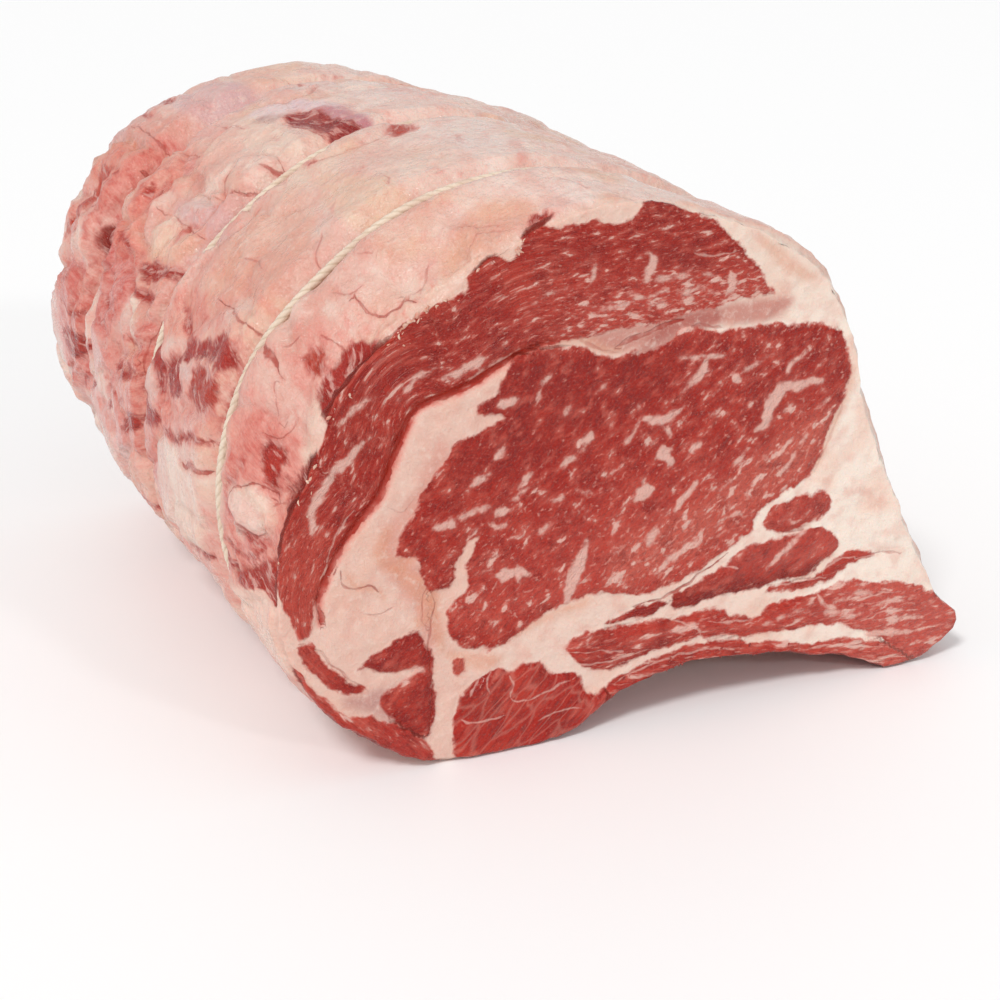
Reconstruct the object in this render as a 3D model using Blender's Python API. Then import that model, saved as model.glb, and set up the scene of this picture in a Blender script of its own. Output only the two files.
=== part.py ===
"""A raw boneless beef rib roast, tied with three loops of butcher's twine.

The roast is one solid lofted through its cross-sections. Seen from the front cut face,
+X runs toward the thin tail over the ribs, +Z is up and +Y runs to the back cut face.
Each tie is a tight loop that presses a groove into the meat, with its knot on the flank.
"""

import math

import bpy
from mathutils import Vector
from mathutils.geometry import convex_hull_2d

MM = 0.001

# Driving dimensions of the roast, in millimetres.
LENGTH = 212.0
FRONT_EDGE_RADIUS = 1.5  # the knife's edge, barely rounded
BACK_EDGE_RADIUS = 14.0  # the far cut, which slumps round at its rim
FRONT_BLEND = 32.0  # over this length the body narrows to the front face
BACK_BLEND = 90.0
POINTS_PER_SPAN = 3  # ring points between two named section points

# The section's outline, anticlockwise from the chine corner at the lower left, seen from
# the front: x, z, and how far the front and the back face stand in from the body there.
SECTION = (
    (-55, -0.5, 1, 2),  # chine corner, which rests on the table
    (-23, -1.5, 1, 2),
    (-4, 9, 0, 1),  # hollow over the ribs that were taken out
    (17, 14, 0, 1),
    (42, 12, 0, 1),
    (67, 6, 0, 2),
    (86, -1.5, 0, 2),  # tail, which rests too
    (99, 5, 0, 3),
    (104, 13, 0, 5),  # tip of the tail
    (95, 25, 0, 3),
    (81, 54, 0, 2),  # flank
    (70, 79, 0, 2),
    (64, 101, 0, 3),
    (54, 119, 0, 5),  # shoulder of the fat cap
    (38, 131, 0, 5),
    (19, 139, 0, 3),
    (-3, 146, 2, 4),
    (-25, 147, 6, 2),
    (-50, 141, 11, -1),
    (-72, 127, 11, -3),
    (-90, 109, 11, -4),
    (-100, 88, 12, -1),
    (-103, 66, 7, -1),
    (-99, 44, 2, 1),
    (-87, 24, -1, 2),
    (-72, 9, 0, 2),
)
# The middle line of the section's thickness, toward which the rims round off.
SPINE = ((-43, 70), (22, 75), (59, 42), (94, 12))
MOST_THINNED = 0.4  # of the way to that line, for a groove or a rim

# The natural seam between the cap muscle and the eye opens as a crevice in both cut faces.
SEAM = ((-25, 111), (-37, 108), (-51, 101), (-62, 95), (-69, 82), (-77, 68), (-87, 47))
SEAM_HALF_WIDTH = 1.3
SEAM_DEPTH = 5.0
SEAM_STEPS = 5  # cutter points between two seam points

# The ties: where each crosses the middle of the roast, how far it leans back along Y for
# each millimetre of X, and how deep it presses.
TIES = (
    ("tie_front", -71.5, 0.0, 4.0),
    ("tie_middle", -6.5, 0.0, 4.0),
    ("tie_back", 68.0, 0.12, 6.0),
)
TWINE_DIAMETER = 2.3
TWINE_SIDES = 8
TWINE_LEAST_STEP = 1.6  # points nearer than this along the twine are one point
TWINE_GAP = 0.4  # clear of the meat, so that the solids never overlap
GROOVE_HALF_WIDTH = 9.0
GROOVE_STATIONS = (-9.0, -5.0, -2.5, 0.0, 2.5, 5.0, 9.0)
KNOT_HEIGHT = 58.0  # on the flank, well clear of the table
KNOT_RADII = (3.0, 3.2, 3.6)  # across the flank, along Y, and along the loop
TAIL_LENGTHS = (20.0, 15.0)

RAW_FAT_PINK = (0.80, 0.52, 0.47, 1.0)
COTTON = (0.78, 0.66, 0.50, 1.0)

FRONT = -LENGTH / 2
BACK = LENGTH / 2
TWINE_RADIUS = TWINE_DIAMETER / 2


def clear_scene():
    for obj in list(bpy.data.objects):
        bpy.data.objects.remove(obj, do_unlink=True)


def matte(name, colour, roughness):
    material = bpy.data.materials.new(name)
    material.use_nodes = True
    shader = material.node_tree.nodes["Principled BSDF"]
    shader.inputs["Base Color"].default_value = colour
    shader.inputs["Roughness"].default_value = roughness
    return material


def add_mesh(name, points, faces, material):
    """Adds a smooth-shaded object from points in millimetres."""
    mesh = bpy.data.meshes.new(name)
    mesh.from_pydata([Vector(point) * MM for point in points], [], faces)
    mesh.materials.append(material)
    mesh.shade_smooth()
    mesh.set_sharp_from_angle(angle=math.radians(40))
    obj = bpy.data.objects.new(name, mesh)
    bpy.context.scene.collection.objects.link(obj)
    return obj


def add_helper(name, points, faces, material):
    """Adds a body that only takes part in a Boolean."""
    obj = add_mesh(name, points, faces, material)
    obj.hide_render = True
    obj.display_type = "WIRE"
    return obj


def join_to(obj, helper, operation):
    modifier = obj.modifiers.new(helper.name, "BOOLEAN")
    modifier.operation = operation
    modifier.object = helper


def ramp(start, end, value):
    """0 before start, 1 after end, and a smooth step between them."""
    share = min(max((value - start) / (end - start), 0.0), 1.0)
    return share * share * (3 - 2 * share)


def catmull_rom(before, start, end, after, share):
    return 0.5 * (
        2 * start
        + (end - before) * share
        + (2 * before - 5 * start + 4 * end - after) * share**2
        + (3 * start - before - 3 * end + after) * share**3
    )


def smooth_loop(points, steps):
    count = len(points)
    return [
        catmull_rom(
            points[i - 1], points[i], points[(i + 1) % count], points[(i + 2) % count], k / steps
        )
        for i in range(count)
        for k in range(steps)
    ]


def smooth_line(points, steps):
    padded = [2 * points[0] - points[1], *points, 2 * points[-1] - points[-2]]
    line = [
        catmull_rom(*padded[i : i + 4], k / steps)
        for i in range(len(points) - 1)
        for k in range(steps)
    ]
    return [*line, points[-1]]


def outward(loop):
    """The unit normals of a loop that runs anticlockwise, with Z up, seen from the front."""
    normals = []
    for i in range(len(loop)):
        along = loop[(i + 1) % len(loop)] - loop[i - 1]
        normals.append(Vector((along.y, -along.x)).normalized())
    return normals


def closest_on(point, start, end):
    along = end - start
    share = (point - start).dot(along) / along.length_squared
    return start + along * min(max(share, 0.0), 1.0)


def way_to_spine(point):
    spots = [closest_on(point, Vector(a), Vector(b)) for a, b in zip(SPINE, SPINE[1:])]
    return min((spot - point for spot in spots), key=lambda way: way.length)


def moved_in(loop, depths):
    """The loop moved in along its normals, never past the middle of a thin stretch."""
    moved = []
    for point, normal, depth in zip(loop, outward(loop), depths):
        most = MOST_THINNED * way_to_spine(point).length
        moved.append(point - normal * min(depth, most))
    return moved


def toward_spine(point, depth):
    way = way_to_spine(point)
    return point + way.normalized() * min(depth, MOST_THINNED * way.length)


def hull_of(loop):
    """The points of the loop that a tight string would touch, in the loop's order."""
    return [loop[i] for i in sorted(convex_hull_2d(loop))]


def slack_under(loop):
    """How far each point lies inside a string drawn tight round the loop."""
    hull = hull_of(loop)
    edges = list(zip(hull, hull[1:] + hull[:1]))
    return [
        min((closest_on(point, start, end) - point).length for start, end in edges)
        for point in loop
    ]


def body_ring(y):
    """The section at y before it is tied, resting on z = 0."""
    front = 1 - ramp(FRONT, FRONT + FRONT_BLEND, y)
    back = ramp(BACK - BACK_BLEND, BACK - BACK_EDGE_RADIUS, y)
    named = [Vector((x, z)) for x, z, _, _ in SECTION]
    insets = [front * at_front + back * at_back for _, _, at_front, at_back in SECTION]
    loop = smooth_loop(moved_in(named, insets), POINTS_PER_SPAN)
    return [Vector((point.x, max(point.y, 0.0))) for point in loop]


def tied_ring(y):
    """The section at y with the grooves that the ties press into it."""
    loop = body_ring(y)
    slack = slack_under(loop)
    depths = [0.0] * len(loop)
    for _, place, _, pressed in TIES:
        share = 1 - ramp(0, GROOVE_HALF_WIDTH, abs(y - place))
        depths = [d + share * max(pressed - s, 0.0) for d, s in zip(depths, slack)]
    return moved_in(loop, depths)


def rim_depth(y):
    """How far the rim stands in at y, from the round edges of the two cut faces."""
    for radius, into in ((FRONT_EDGE_RADIUS, y - FRONT), (BACK_EDGE_RADIUS, BACK - y)):
        if into < radius:
            return radius - math.sqrt(radius**2 - (radius - into) ** 2)
    return 0.0


def lean_at(y):
    """How much a section at y leans back for each millimetre of X."""
    places = [FRONT, *(tie[1] for tie in TIES), BACK]
    leans = [0.0, *(tie[2] for tie in TIES), 0.0]
    for i in range(len(places) - 1):
        if y <= places[i + 1]:
            share = (y - places[i]) / (places[i + 1] - places[i])
            return leans[i] + share * (leans[i + 1] - leans[i])
    return 0.0


def stations():
    """The places along Y of the roast's rings, closer at the rims and in the grooves."""
    turns = [math.radians(step * 18) for step in range(6)]
    places = [FRONT + FRONT_EDGE_RADIUS * (1 - math.cos(turn)) for turn in turns[::2]]
    places += [FRONT + FRONT_EDGE_RADIUS, FRONT + 9.0, FRONT + 18.0]
    places += [tie[1] + offset for tie in TIES for offset in GROOVE_STATIONS]
    places += [(a[1] + b[1]) / 2 for a, b in zip(TIES, TIES[1:])]
    places += [BACK - BACK_EDGE_RADIUS * (1 - math.sin(turn)) for turn in turns]
    return sorted(set(places))


def roast_ring(y):
    depth = rim_depth(y)
    lean = lean_at(y)
    loop = tied_ring(y)
    if depth:
        loop = [toward_spine(point, depth) for point in loop]
    return [Vector((point.x, y + lean * point.x, point.y)) for point in loop]


def add_roast(material):
    rings = [roast_ring(y) for y in stations()]
    count = len(rings[0])
    points = [point for ring in rings for point in ring]
    faces = [tuple(range(count)), tuple(range(len(points) - 1, len(points) - count - 1, -1))]
    for ring in range(len(rings) - 1):
        near = ring * count
        for i in range(count):
            j = (i + 1) % count
            faces.append((near + j, near + i, near + count + i, near + count + j))
    return add_mesh("roast", points, faces, material)


def add_seam_cutter(name, face, into, material):
    """A tapering wedge along the seam. face is a cut face's y and into points into the meat."""
    line = smooth_line([Vector(point) for point in SEAM], SEAM_STEPS)
    points = []
    for i, spot in enumerate(line):
        along = (line[min(i + 1, len(line) - 1)] - line[max(i - 1, 0)]).normalized()
        across = Vector((along.y, -along.x))
        swell = 0.15 + 0.85 * math.sin(math.pi * i / (len(line) - 1))
        for side in (-1, 1):
            edge = spot + across * side * SEAM_HALF_WIDTH * swell
            points.append((edge.x, face - into, edge.y))
        points.append((spot.x, face + into * SEAM_DEPTH * swell, spot.y))
    faces = [(0, 1, 2), (len(points) - 1, len(points) - 2, len(points) - 3)]
    for start in range(0, len(points) - 3, 3):
        for a, b in ((0, 1), (1, 2), (2, 0)):
            faces.append((start + b, start + a, start + 3 + a, start + 3 + b))
    if into > 0:
        faces = [face_points[::-1] for face_points in faces]
    return add_helper(name, points, faces, material)


def tube(centres, outs, side, radius, closed):
    """Points and faces of a tube. outs are its outward directions, side its other one."""
    points = []
    for centre, out in zip(centres, outs):
        for step in range(TWINE_SIDES):
            turn = 2 * math.pi * step / TWINE_SIDES
            points.append(centre + radius * (out * math.cos(turn) + side * math.sin(turn)))
    faces = []
    last = len(centres) if closed else len(centres) - 1
    for ring in range(last):
        near = ring * TWINE_SIDES
        far = (ring + 1) % len(centres) * TWINE_SIDES
        for step in range(TWINE_SIDES):
            turned = (step + 1) % TWINE_SIDES
            faces.append((near + step, near + turned, far + turned))
            faces.append((near + step, far + turned, far + step))
    if not closed:
        faces.append(tuple(range(TWINE_SIDES - 1, -1, -1)))
        faces.append(tuple(range(len(points) - TWINE_SIDES, len(points))))
    return points, faces


def tie_route(place):
    """The twine's middle line in the section, with its outward directions, drawn tight."""
    touched = []
    for spot in hull_of(tied_ring(place)):
        if not touched or (spot - touched[-1]).length > TWINE_LEAST_STEP:
            touched.append(spot)
    route = []
    outs = []
    for i in range(len(touched)):
        before = (touched[i] - touched[i - 1]).normalized()
        after = (touched[(i + 1) % len(touched)] - touched[i]).normalized()
        out = (Vector((before.y, -before.x)) + Vector((after.y, -after.x))).normalized()
        mitre = out.dot(Vector((after.y, -after.x)))
        route.append(touched[i] + out * (TWINE_GAP + TWINE_RADIUS) / mitre)
        outs.append(out)
    return route, outs


def flank_spot(route):
    """The place on the flank's straight run at the knot's height, and its outward side."""
    for start, end in zip(route, route[1:] + route[:1]):
        if start.x > 0 and start.y <= KNOT_HEIGHT < end.y:
            along = (end - start).normalized()
            spot = start + along * (KNOT_HEIGHT - start.y) / along.y
            return spot, Vector((along.y, -along.x)), along
    raise ValueError("the tie does not pass the knot's height")


def add_knot(name, centre, axes, material):
    """A turned ellipsoid. axes are its three radii as vectors."""
    rows = 6
    points = [centre - axes[2]]
    for row in range(1, rows):
        lift = math.pi * (row / rows - 0.5)
        for step in range(TWINE_SIDES):
            turn = 2 * math.pi * (step + 0.5) / TWINE_SIDES
            flat = axes[0] * math.cos(turn) + axes[1] * math.sin(turn)
            points.append(centre + flat * math.cos(lift) + axes[2] * math.sin(lift))
    points.append(centre + axes[2])
    top = len(points) - 1
    faces = []
    for step in range(TWINE_SIDES):
        turned = (step + 1) % TWINE_SIDES
        faces.append((0, 1 + turned, 1 + step))
        faces.append((top, top - TWINE_SIDES + step, top - TWINE_SIDES + turned))
        for row in range(rows - 2):
            near = 1 + row * TWINE_SIDES
            far = near + TWINE_SIDES
            faces.append((near + step, near + turned, far + turned, far + step))
    return add_helper(name, points, faces, material)


def add_tie(name, place, lean, material):
    def lifted(spot):
        return Vector((spot.x, place + lean * spot.x, spot.y))

    side = Vector((-lean, 1, 0)).normalized()
    route, outs = tie_route(place)
    outs = [Vector((out.x, lean * out.x, out.y)).normalized() for out in outs]
    loop = add_mesh(
        name, *tube([lifted(spot) for spot in route], outs, side, TWINE_RADIUS, True), material
    )

    spot, out, along = flank_spot(route)
    out = Vector((out.x, lean * out.x, out.y)).normalized()
    along = Vector((along.x, lean * along.x, along.y)).normalized()
    centre = lifted(spot) + out * (KNOT_RADII[0] - TWINE_RADIUS)
    axes = (out * KNOT_RADII[0], side * KNOT_RADII[1], along * KNOT_RADII[2])
    join_to(loop, add_knot(f"{name}_knot", centre, axes, material), "UNION")

    for number, length in enumerate(TAIL_LENGTHS):
        way = side * (1 if number else -1)
        centres = [
            centre + way * (1.2 + 5.0 * share) - along * length * share + out * 2.2 * share
            for share in (0.0, 0.25, 0.5, 0.75, 1.0)
        ]
        points, faces = tube(centres, [out] * 5, out.cross(along), 0.9 * TWINE_RADIUS, False)
        join_to(loop, add_helper(f"{name}_tail_{number}", points, faces, material), "UNION")


def main():
    clear_scene()
    fat = matte("Raw fat and meat", RAW_FAT_PINK, 0.45)
    cotton = matte("Cotton twine", COTTON, 0.85)
    roast = add_roast(fat)
    join_to(roast, add_seam_cutter("seam_front", FRONT, 1, fat), "DIFFERENCE")
    join_to(roast, add_seam_cutter("seam_back", BACK, -1, fat), "DIFFERENCE")
    for name, place, lean, _ in TIES:
        add_tie(name, place, lean, cotton)


main()
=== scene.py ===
import math

import bpy
import numpy as np
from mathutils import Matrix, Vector, noise
from mathutils.geometry import delaunay_2d_cdt


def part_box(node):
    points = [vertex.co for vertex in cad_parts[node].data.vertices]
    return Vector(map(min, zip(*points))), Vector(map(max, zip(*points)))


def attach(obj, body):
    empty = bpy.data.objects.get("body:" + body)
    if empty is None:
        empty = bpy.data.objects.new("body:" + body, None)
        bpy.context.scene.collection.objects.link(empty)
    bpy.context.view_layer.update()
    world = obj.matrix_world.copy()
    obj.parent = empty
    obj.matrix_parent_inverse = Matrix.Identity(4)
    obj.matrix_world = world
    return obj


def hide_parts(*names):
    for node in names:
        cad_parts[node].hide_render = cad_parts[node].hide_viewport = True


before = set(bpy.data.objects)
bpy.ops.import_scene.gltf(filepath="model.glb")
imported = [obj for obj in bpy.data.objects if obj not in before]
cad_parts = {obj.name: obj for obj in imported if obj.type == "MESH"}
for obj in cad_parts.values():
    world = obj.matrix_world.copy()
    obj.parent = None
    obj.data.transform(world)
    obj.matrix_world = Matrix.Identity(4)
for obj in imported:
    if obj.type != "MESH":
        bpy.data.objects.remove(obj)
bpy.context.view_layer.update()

# ---------------------------------------------------------------------------------------
# The trimmed rib roast: one boned-out block of beef, three ribs long.
# Its form is a loft through cross-sections: a thick eye end at -X, a thin tail over the
# ribs at +X, a fat cap on top, and a groove wherever a tie bites.

MM = 0.001
roast_low, roast_high = (np.array(corner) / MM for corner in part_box("roast"))
FRONT, BACK = roast_low[1], roast_high[1]
FRONT_EDGE, BACK_EDGE = 1.5, 14.0
FRONT_BLEND, BACK_BLEND = 32.0, 90.0
# x and z of the outline, anticlockwise from the chine corner, then how far the front cut
# and the back cut stand in from the body there.
SECTION = np.array((
    (-55, -0.5, 1, 2), (-23, -1.5, 1, 2), (-4, 9, 0, 1), (17, 14, 0, 1), (42, 12, 0, 1),
    (67, 6, 0, 2), (86, -1.5, 0, 2), (99, 5, 0, 3), (104, 13, 0, 5), (95, 25, 0, 3),
    (81, 54, 0, 2), (70, 79, 0, 2), (64, 101, 0, 3), (54, 119, 0, 5), (38, 131, 0, 5),
    (19, 139, 0, 3), (-3, 146, 2, 4), (-25, 147, 6, 2), (-50, 141, 11, -1),
    (-72, 127, 11, -3), (-90, 109, 11, -4), (-100, 88, 12, -1), (-103, 66, 7, -1),
    (-99, 44, 2, 1), (-87, 24, -1, 2), (-72, 9, 0, 2),
))
SPINE = np.array(((-43, 70), (22, 75), (59, 42), (94, 12)), float)
MOST_THINNED = 0.4
TORN = 7.0
# Each tie: its name, where it crosses the middle, its lean along Y per mm of X, its bite.
TIES = (
    ("tie_front", -71.5, 0.0, 4.0),
    ("tie_middle", -6.5, 0.0, 4.0),
    ("tie_back", 68.0, 0.12, 6.0),
)
GROOVE = 9.0


def ramp(start, end, value):
    share = np.clip((value - start) / (end - start), 0.0, 1.0)
    return share * share * (3 - 2 * share)


def curve_through(points, where, closed=True):
    """Catmull-Rom through points[..., n, 2] at the parameters where, one unit a span."""
    if not closed:
        first = 2 * points[..., :1, :] - points[..., 1:2, :]
        last = 2 * points[..., -1:, :] - points[..., -2:-1, :]
        points = np.concatenate([first, points, last], axis=-2)
        where = np.clip(where, 0, points.shape[-2] - 3 - 1e-9) + 1
    count = points.shape[-2]
    span = np.floor(where).astype(int)
    t = (where - span)[:, None]
    a, b, c, d = (points[..., (span + k) % count, :] for k in (-1, 0, 1, 2))
    return 0.5 * (
        2 * b + (c - a) * t + (2 * a - 5 * b + 4 * c - d) * t**2 + (3 * b - a - 3 * c + d) * t**3
    )


def outward(loop):
    along = np.roll(loop, -1, -2) - np.roll(loop, 1, -2)
    normal = np.stack([along[..., 1], -along[..., 0]], -1)
    return normal / np.linalg.norm(normal, axis=-1, keepdims=True)


def way_to_line(points, line):
    """The shortest vector from each point to an open line."""
    best = np.full(points.shape, 1e9)
    for start, end in zip(line, line[1:]):
        along = end - start
        share = np.clip(((points - start) @ along) / (along @ along), 0, 1)
        way = start + share[..., None] * along - points
        nearer = (way**2).sum(-1) < (best**2).sum(-1)
        best[nearer] = way[nearer]
    return best


def moved_in(loop, depth):
    most = MOST_THINNED * np.linalg.norm(way_to_line(loop, SPINE), axis=-1)
    return loop - outward(loop) * np.minimum(depth, most)[..., None]


def string_round(loop):
    """Indices of the points that a tight string round the loop touches."""
    order = sorted(range(len(loop)), key=lambda i: (loop[i][0], loop[i][1]))
    hull = []
    for run in (order, order[::-1]):
        part = []
        for i in run:
            while len(part) > 1:
                a, b = loop[part[-1]] - loop[part[-2]], loop[i] - loop[part[-1]]
                if a[0] * b[1] - a[1] * b[0] > 0:
                    break
                part.pop()
            part.append(i)
        hull += part[:-1]
    return sorted(hull)


def slack_under(loop):
    """How far each point lies inside a string drawn tight round the loop."""
    hull = loop[string_round(loop)]
    return np.linalg.norm(way_to_line(loop, np.concatenate([hull, hull[:1]])), axis=-1)


def lean_at(y):
    places = [FRONT, *(tie[1] for tie in TIES), BACK]
    return np.interp(y, places, [0.0, *(tie[2] for tie in TIES), 0.0])


def sections(ys, where):
    """The tied body's cross-sections at ys, as [len(ys), len(where), 2]."""
    front = 1 - ramp(FRONT, FRONT + FRONT_BLEND, ys)
    back = ramp(BACK - BACK_BLEND, BACK - BACK_EDGE, ys)
    named = np.repeat(SECTION[None, :, :2], len(ys), 0)
    named = moved_in(named, front[:, None] * SECTION[:, 2] + back[:, None] * SECTION[:, 3])
    loops = curve_through(named, where)
    loops[..., 1] = np.maximum(loops[..., 1], 0)
    for _, place, _, bite in TIES:
        for i in np.nonzero(np.abs(ys - place) < GROOVE)[0]:
            share = 1 - ramp(0, GROOVE, abs(ys[i] - place))
            loops[i] = moved_in(loops[i], share * np.maximum(bite - slack_under(loops[i]), 0))
    for i, y in enumerate(ys):
        for radius, into in ((FRONT_EDGE, y - FRONT), (BACK_EDGE, BACK - y)):
            if into < radius:
                depth = radius - math.sqrt(radius**2 - (radius - into) ** 2)
                way = way_to_line(loops[i], SPINE)
                length = np.linalg.norm(way, axis=-1)
                step = np.minimum(depth, MOST_THINNED * length) / length
                loops[i] += way * step[:, None]
    return loops


# The wall's grid: close over the cap and the left side, wider below and on the flank.
FINE_FROM, FINE_STEP, COARSE_STEP = 12.5, 1.2, 2.6
FACE_STEP, BACK_FACE_STEP = 0.85, 1.9
trial = np.arange(0, len(SECTION), 0.02)
mid_ring = sections(np.array([-39.0]), trial)[0]
girth_steps = np.linalg.norm(np.roll(mid_ring, -1, 0) - mid_ring, axis=1)
pace = girth_steps / np.where((trial > FINE_FROM) & (trial < 25.5), FINE_STEP, COARSE_STEP)
walked = np.concatenate([[0], np.cumsum(pace)])
around = np.interp(
    np.linspace(0, walked[-1], int(walked[-1]), endpoint=False),
    walked,
    np.append(trial, len(SECTION)),
)
turns = np.radians(np.linspace(0, 90, 6))
lengthwise = np.concatenate([
    FRONT + FRONT_EDGE * (1 - np.cos(turns)),
    np.arange(FRONT + FRONT_EDGE + 1.2, BACK - BACK_EDGE, 1.42),
    BACK - BACK_EDGE * (1 - np.sin(np.radians(np.linspace(0, 90, 13)))),
])
loops = sections(lengthwise, around)


def lumps(places, size, seed, octaves=2):
    """Smooth noise, about -1 to 1, with lumps of this size in millimetres."""
    spots = places / size + seed * 7.31
    return np.array([noise.fractal(spot, 1.0, 2.0, octaves) for spot in spots.tolist()])


# The rim of the front cut is torn, and wanders in and out by half a millimetre or so.
for i, y in enumerate(lengthwise[lengthwise < FRONT + TORN]):
    wander = 0.8 * lumps(np.insert(loops[i], 1, y, axis=1), 4, 80) - 0.3
    loops[i] += outward(loops[i]) * (wander * (1 - ramp(FRONT, FRONT + TORN, y)))[:, None]

wall = np.stack([
    loops[..., 0],
    lengthwise[:, None] + lean_at(lengthwise)[:, None] * loops[..., 0],
    loops[..., 1],
], -1)


def cut_face(rim, step):
    """Points inside a cut's rim on a close triangular grid, and the faces that fill it."""
    low, high = rim.min(0), rim.max(0)
    rows = np.arange(low[1], high[1], step * 0.866)
    grid = np.concatenate([
        np.stack([np.arange(low[0] + (i % 2) * step / 2, high[0], step)] * 2, -1)
        * (1, 0) + (0, z)
        for i, z in enumerate(rows)
    ])
    closed = np.concatenate([rim, rim[:1]])
    inside = np.zeros(len(grid), bool)
    for (x0, z0), (x1, z1) in zip(closed, closed[1:]):
        crosses = (grid[:, 1] < z0) != (grid[:, 1] < z1)
        inside ^= crosses & (
            grid[:, 0] < x0 + (x1 - x0) * (grid[:, 1] - z0) / (z1 - z0 + 1e-12)
        )
    clear = np.linalg.norm(way_to_line(grid, closed), axis=1) > 0.7 * step
    grid = grid[inside & clear]
    everything = [Vector(point) for point in np.concatenate([rim, grid])]
    edges = [(i, (i + 1) % len(rim)) for i in range(len(rim))]
    _, _, faces, _, _, _ = delaunay_2d_cdt(everything, edges, [], 1, 1e-7)
    return grid, np.array(faces)


ring = len(around)
front_grid, front_faces = cut_face(loops[0], FACE_STEP)
back_grid, back_faces = cut_face(loops[-1], BACK_FACE_STEP)
wall_count = wall.shape[0] * ring
points = np.concatenate([
    wall.reshape(-1, 3),
    np.insert(front_grid, 1, FRONT, axis=1),
    np.insert(back_grid, 1, BACK, axis=1),
])
index = np.arange(wall_count).reshape(-1, ring)
near, far = index[:-1], index[1:]
quads = np.stack([np.roll(near, -1, 1), near, far, np.roll(far, -1, 1)], -1).reshape(-1, 4)
front_faces = np.where(front_faces < ring, front_faces, front_faces - ring + wall_count)
back_start = wall_count + len(front_grid)
back_faces = np.where(
    back_faces < ring, back_faces + wall_count - ring, back_faces - ring + back_start
)
triangles = np.concatenate([front_faces, back_faces[:, ::-1]])
print("roast triangles", 2 * len(quads) + len(triangles))

# ---------------------------------------------------------------------------------------
# The front cut: a knife cut across the grain. It shows the round eye muscle, the cap
# muscle over it behind a deep seam, the rib fingers along the bottom, and hard white fat.

REACH = 4.0  # how far outside its edge a muscle or a mark is still felt


def beside(places, line):
    """How far along an open line each place lies, and how far to the left of it."""
    best = np.full(len(places), 1e9)
    walked, aside = np.zeros(len(places)), np.zeros(len(places))
    before = 0.0
    for start, end in zip(line, line[1:]):
        along = end - start
        length = np.linalg.norm(along)
        share = np.clip(((places - start) @ along) / length**2, 0, 1)
        way = places - start - share[:, None] * along
        distance = np.linalg.norm(way, axis=1)
        side = along[0] * way[:, 1] - along[1] * way[:, 0]
        nearer = distance < best
        best[nearer] = distance[nearer]
        walked[nearer] = before + share[nearer] * length
        aside[nearer] = np.copysign(distance, side)[nearer]
        before += length
    return walked, aside


def near_to(places, line, margin):
    return ((places > line.min(0) - margin) & (places < line.max(0) + margin)).all(1)


def depth_inside(places, outline):
    """How deep each place lies inside a smooth closed outline, down to -REACH outside it."""
    line = curve_through(np.array(outline, float), np.arange(0, len(outline), 0.25))
    depth = np.full(len(places), -REACH)
    near = near_to(places, line, REACH)
    x, z = places[near].T
    inside = np.zeros(near.sum(), bool)
    closed = np.concatenate([line, line[:1]])
    for (x0, z0), (x1, z1) in zip(closed, closed[1:]):
        crosses = (z < z0) != (z < z1)
        inside ^= crosses & (x < x0 + (x1 - x0) * (z - z0) / (z1 - z0 + 1e-12))
    distance = np.abs(beside(places[near], closed)[1])
    depth[near] = np.where(inside, distance, -np.minimum(distance, REACH))
    return depth


def stroke(places, line, width):
    """How deep each place lies inside a mark drawn along a line, narrowing to its ends."""
    points = np.array(line, float)
    line = curve_through(points, np.linspace(0, len(points) - 1, 5 * len(points)), closed=False)
    depth = np.full(len(places), -REACH)
    near = near_to(places, line, REACH)
    walked, aside = beside(places[near], line)
    share = walked / np.linalg.norm(np.diff(line, axis=0), axis=1).sum()
    radius = 0.5 * width * np.sqrt(np.clip(5 * share * (1 - share), 0.12, 1))
    depth[near] = np.maximum(radius - np.abs(aside), -REACH)
    return depth


def crease_beside(places, lines, reach):
    """The nearest thin line within reach: how far to its side, half its width, its strength."""
    side = np.full(len(places), REACH)
    half = np.full(len(places), -REACH)
    strength = np.zeros(len(places))
    for corners, width, *_, strong in lines:
        corners = np.array(corners, float)
        fine = np.linspace(0, len(corners) - 1, 5 * len(corners))
        line = curve_through(corners, fine, closed=False)
        near = np.nonzero(near_to(places, line, reach))[0]
        walked, aside = beside(places[near], line)
        share = walked / np.linalg.norm(np.diff(line, axis=0), axis=1).sum()
        radius = 0.5 * width * np.sqrt(np.clip(5 * share * (1 - share), 0, 1))
        radius[(share <= 0) | (share >= 1)] = -0.6
        taken = (np.abs(aside) < reach) & (radius - np.abs(aside) > half[near] - np.abs(side[near]))
        side[near[taken]], half[near[taken]] = aside[taken], radius[taken]
        strength[near[taken]] = strong
    return side, half, strength


def hex_colour(code):
    """sRGB hex to the linear colour that a shader takes."""
    parts = [int(code[i : i + 2], 16) / 255 for i in (1, 3, 5)]
    return [p / 12.92 if p <= 0.04045 else ((p + 0.055) / 1.055) ** 2.4 for p in parts] + [1]


def stain(colours, share, code):
    """Blends the colours towards one, by a share for each place."""
    colours += np.clip(share, 0, 1)[:, None] * (np.array(hex_colour(code)[:3]) - colours)


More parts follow.
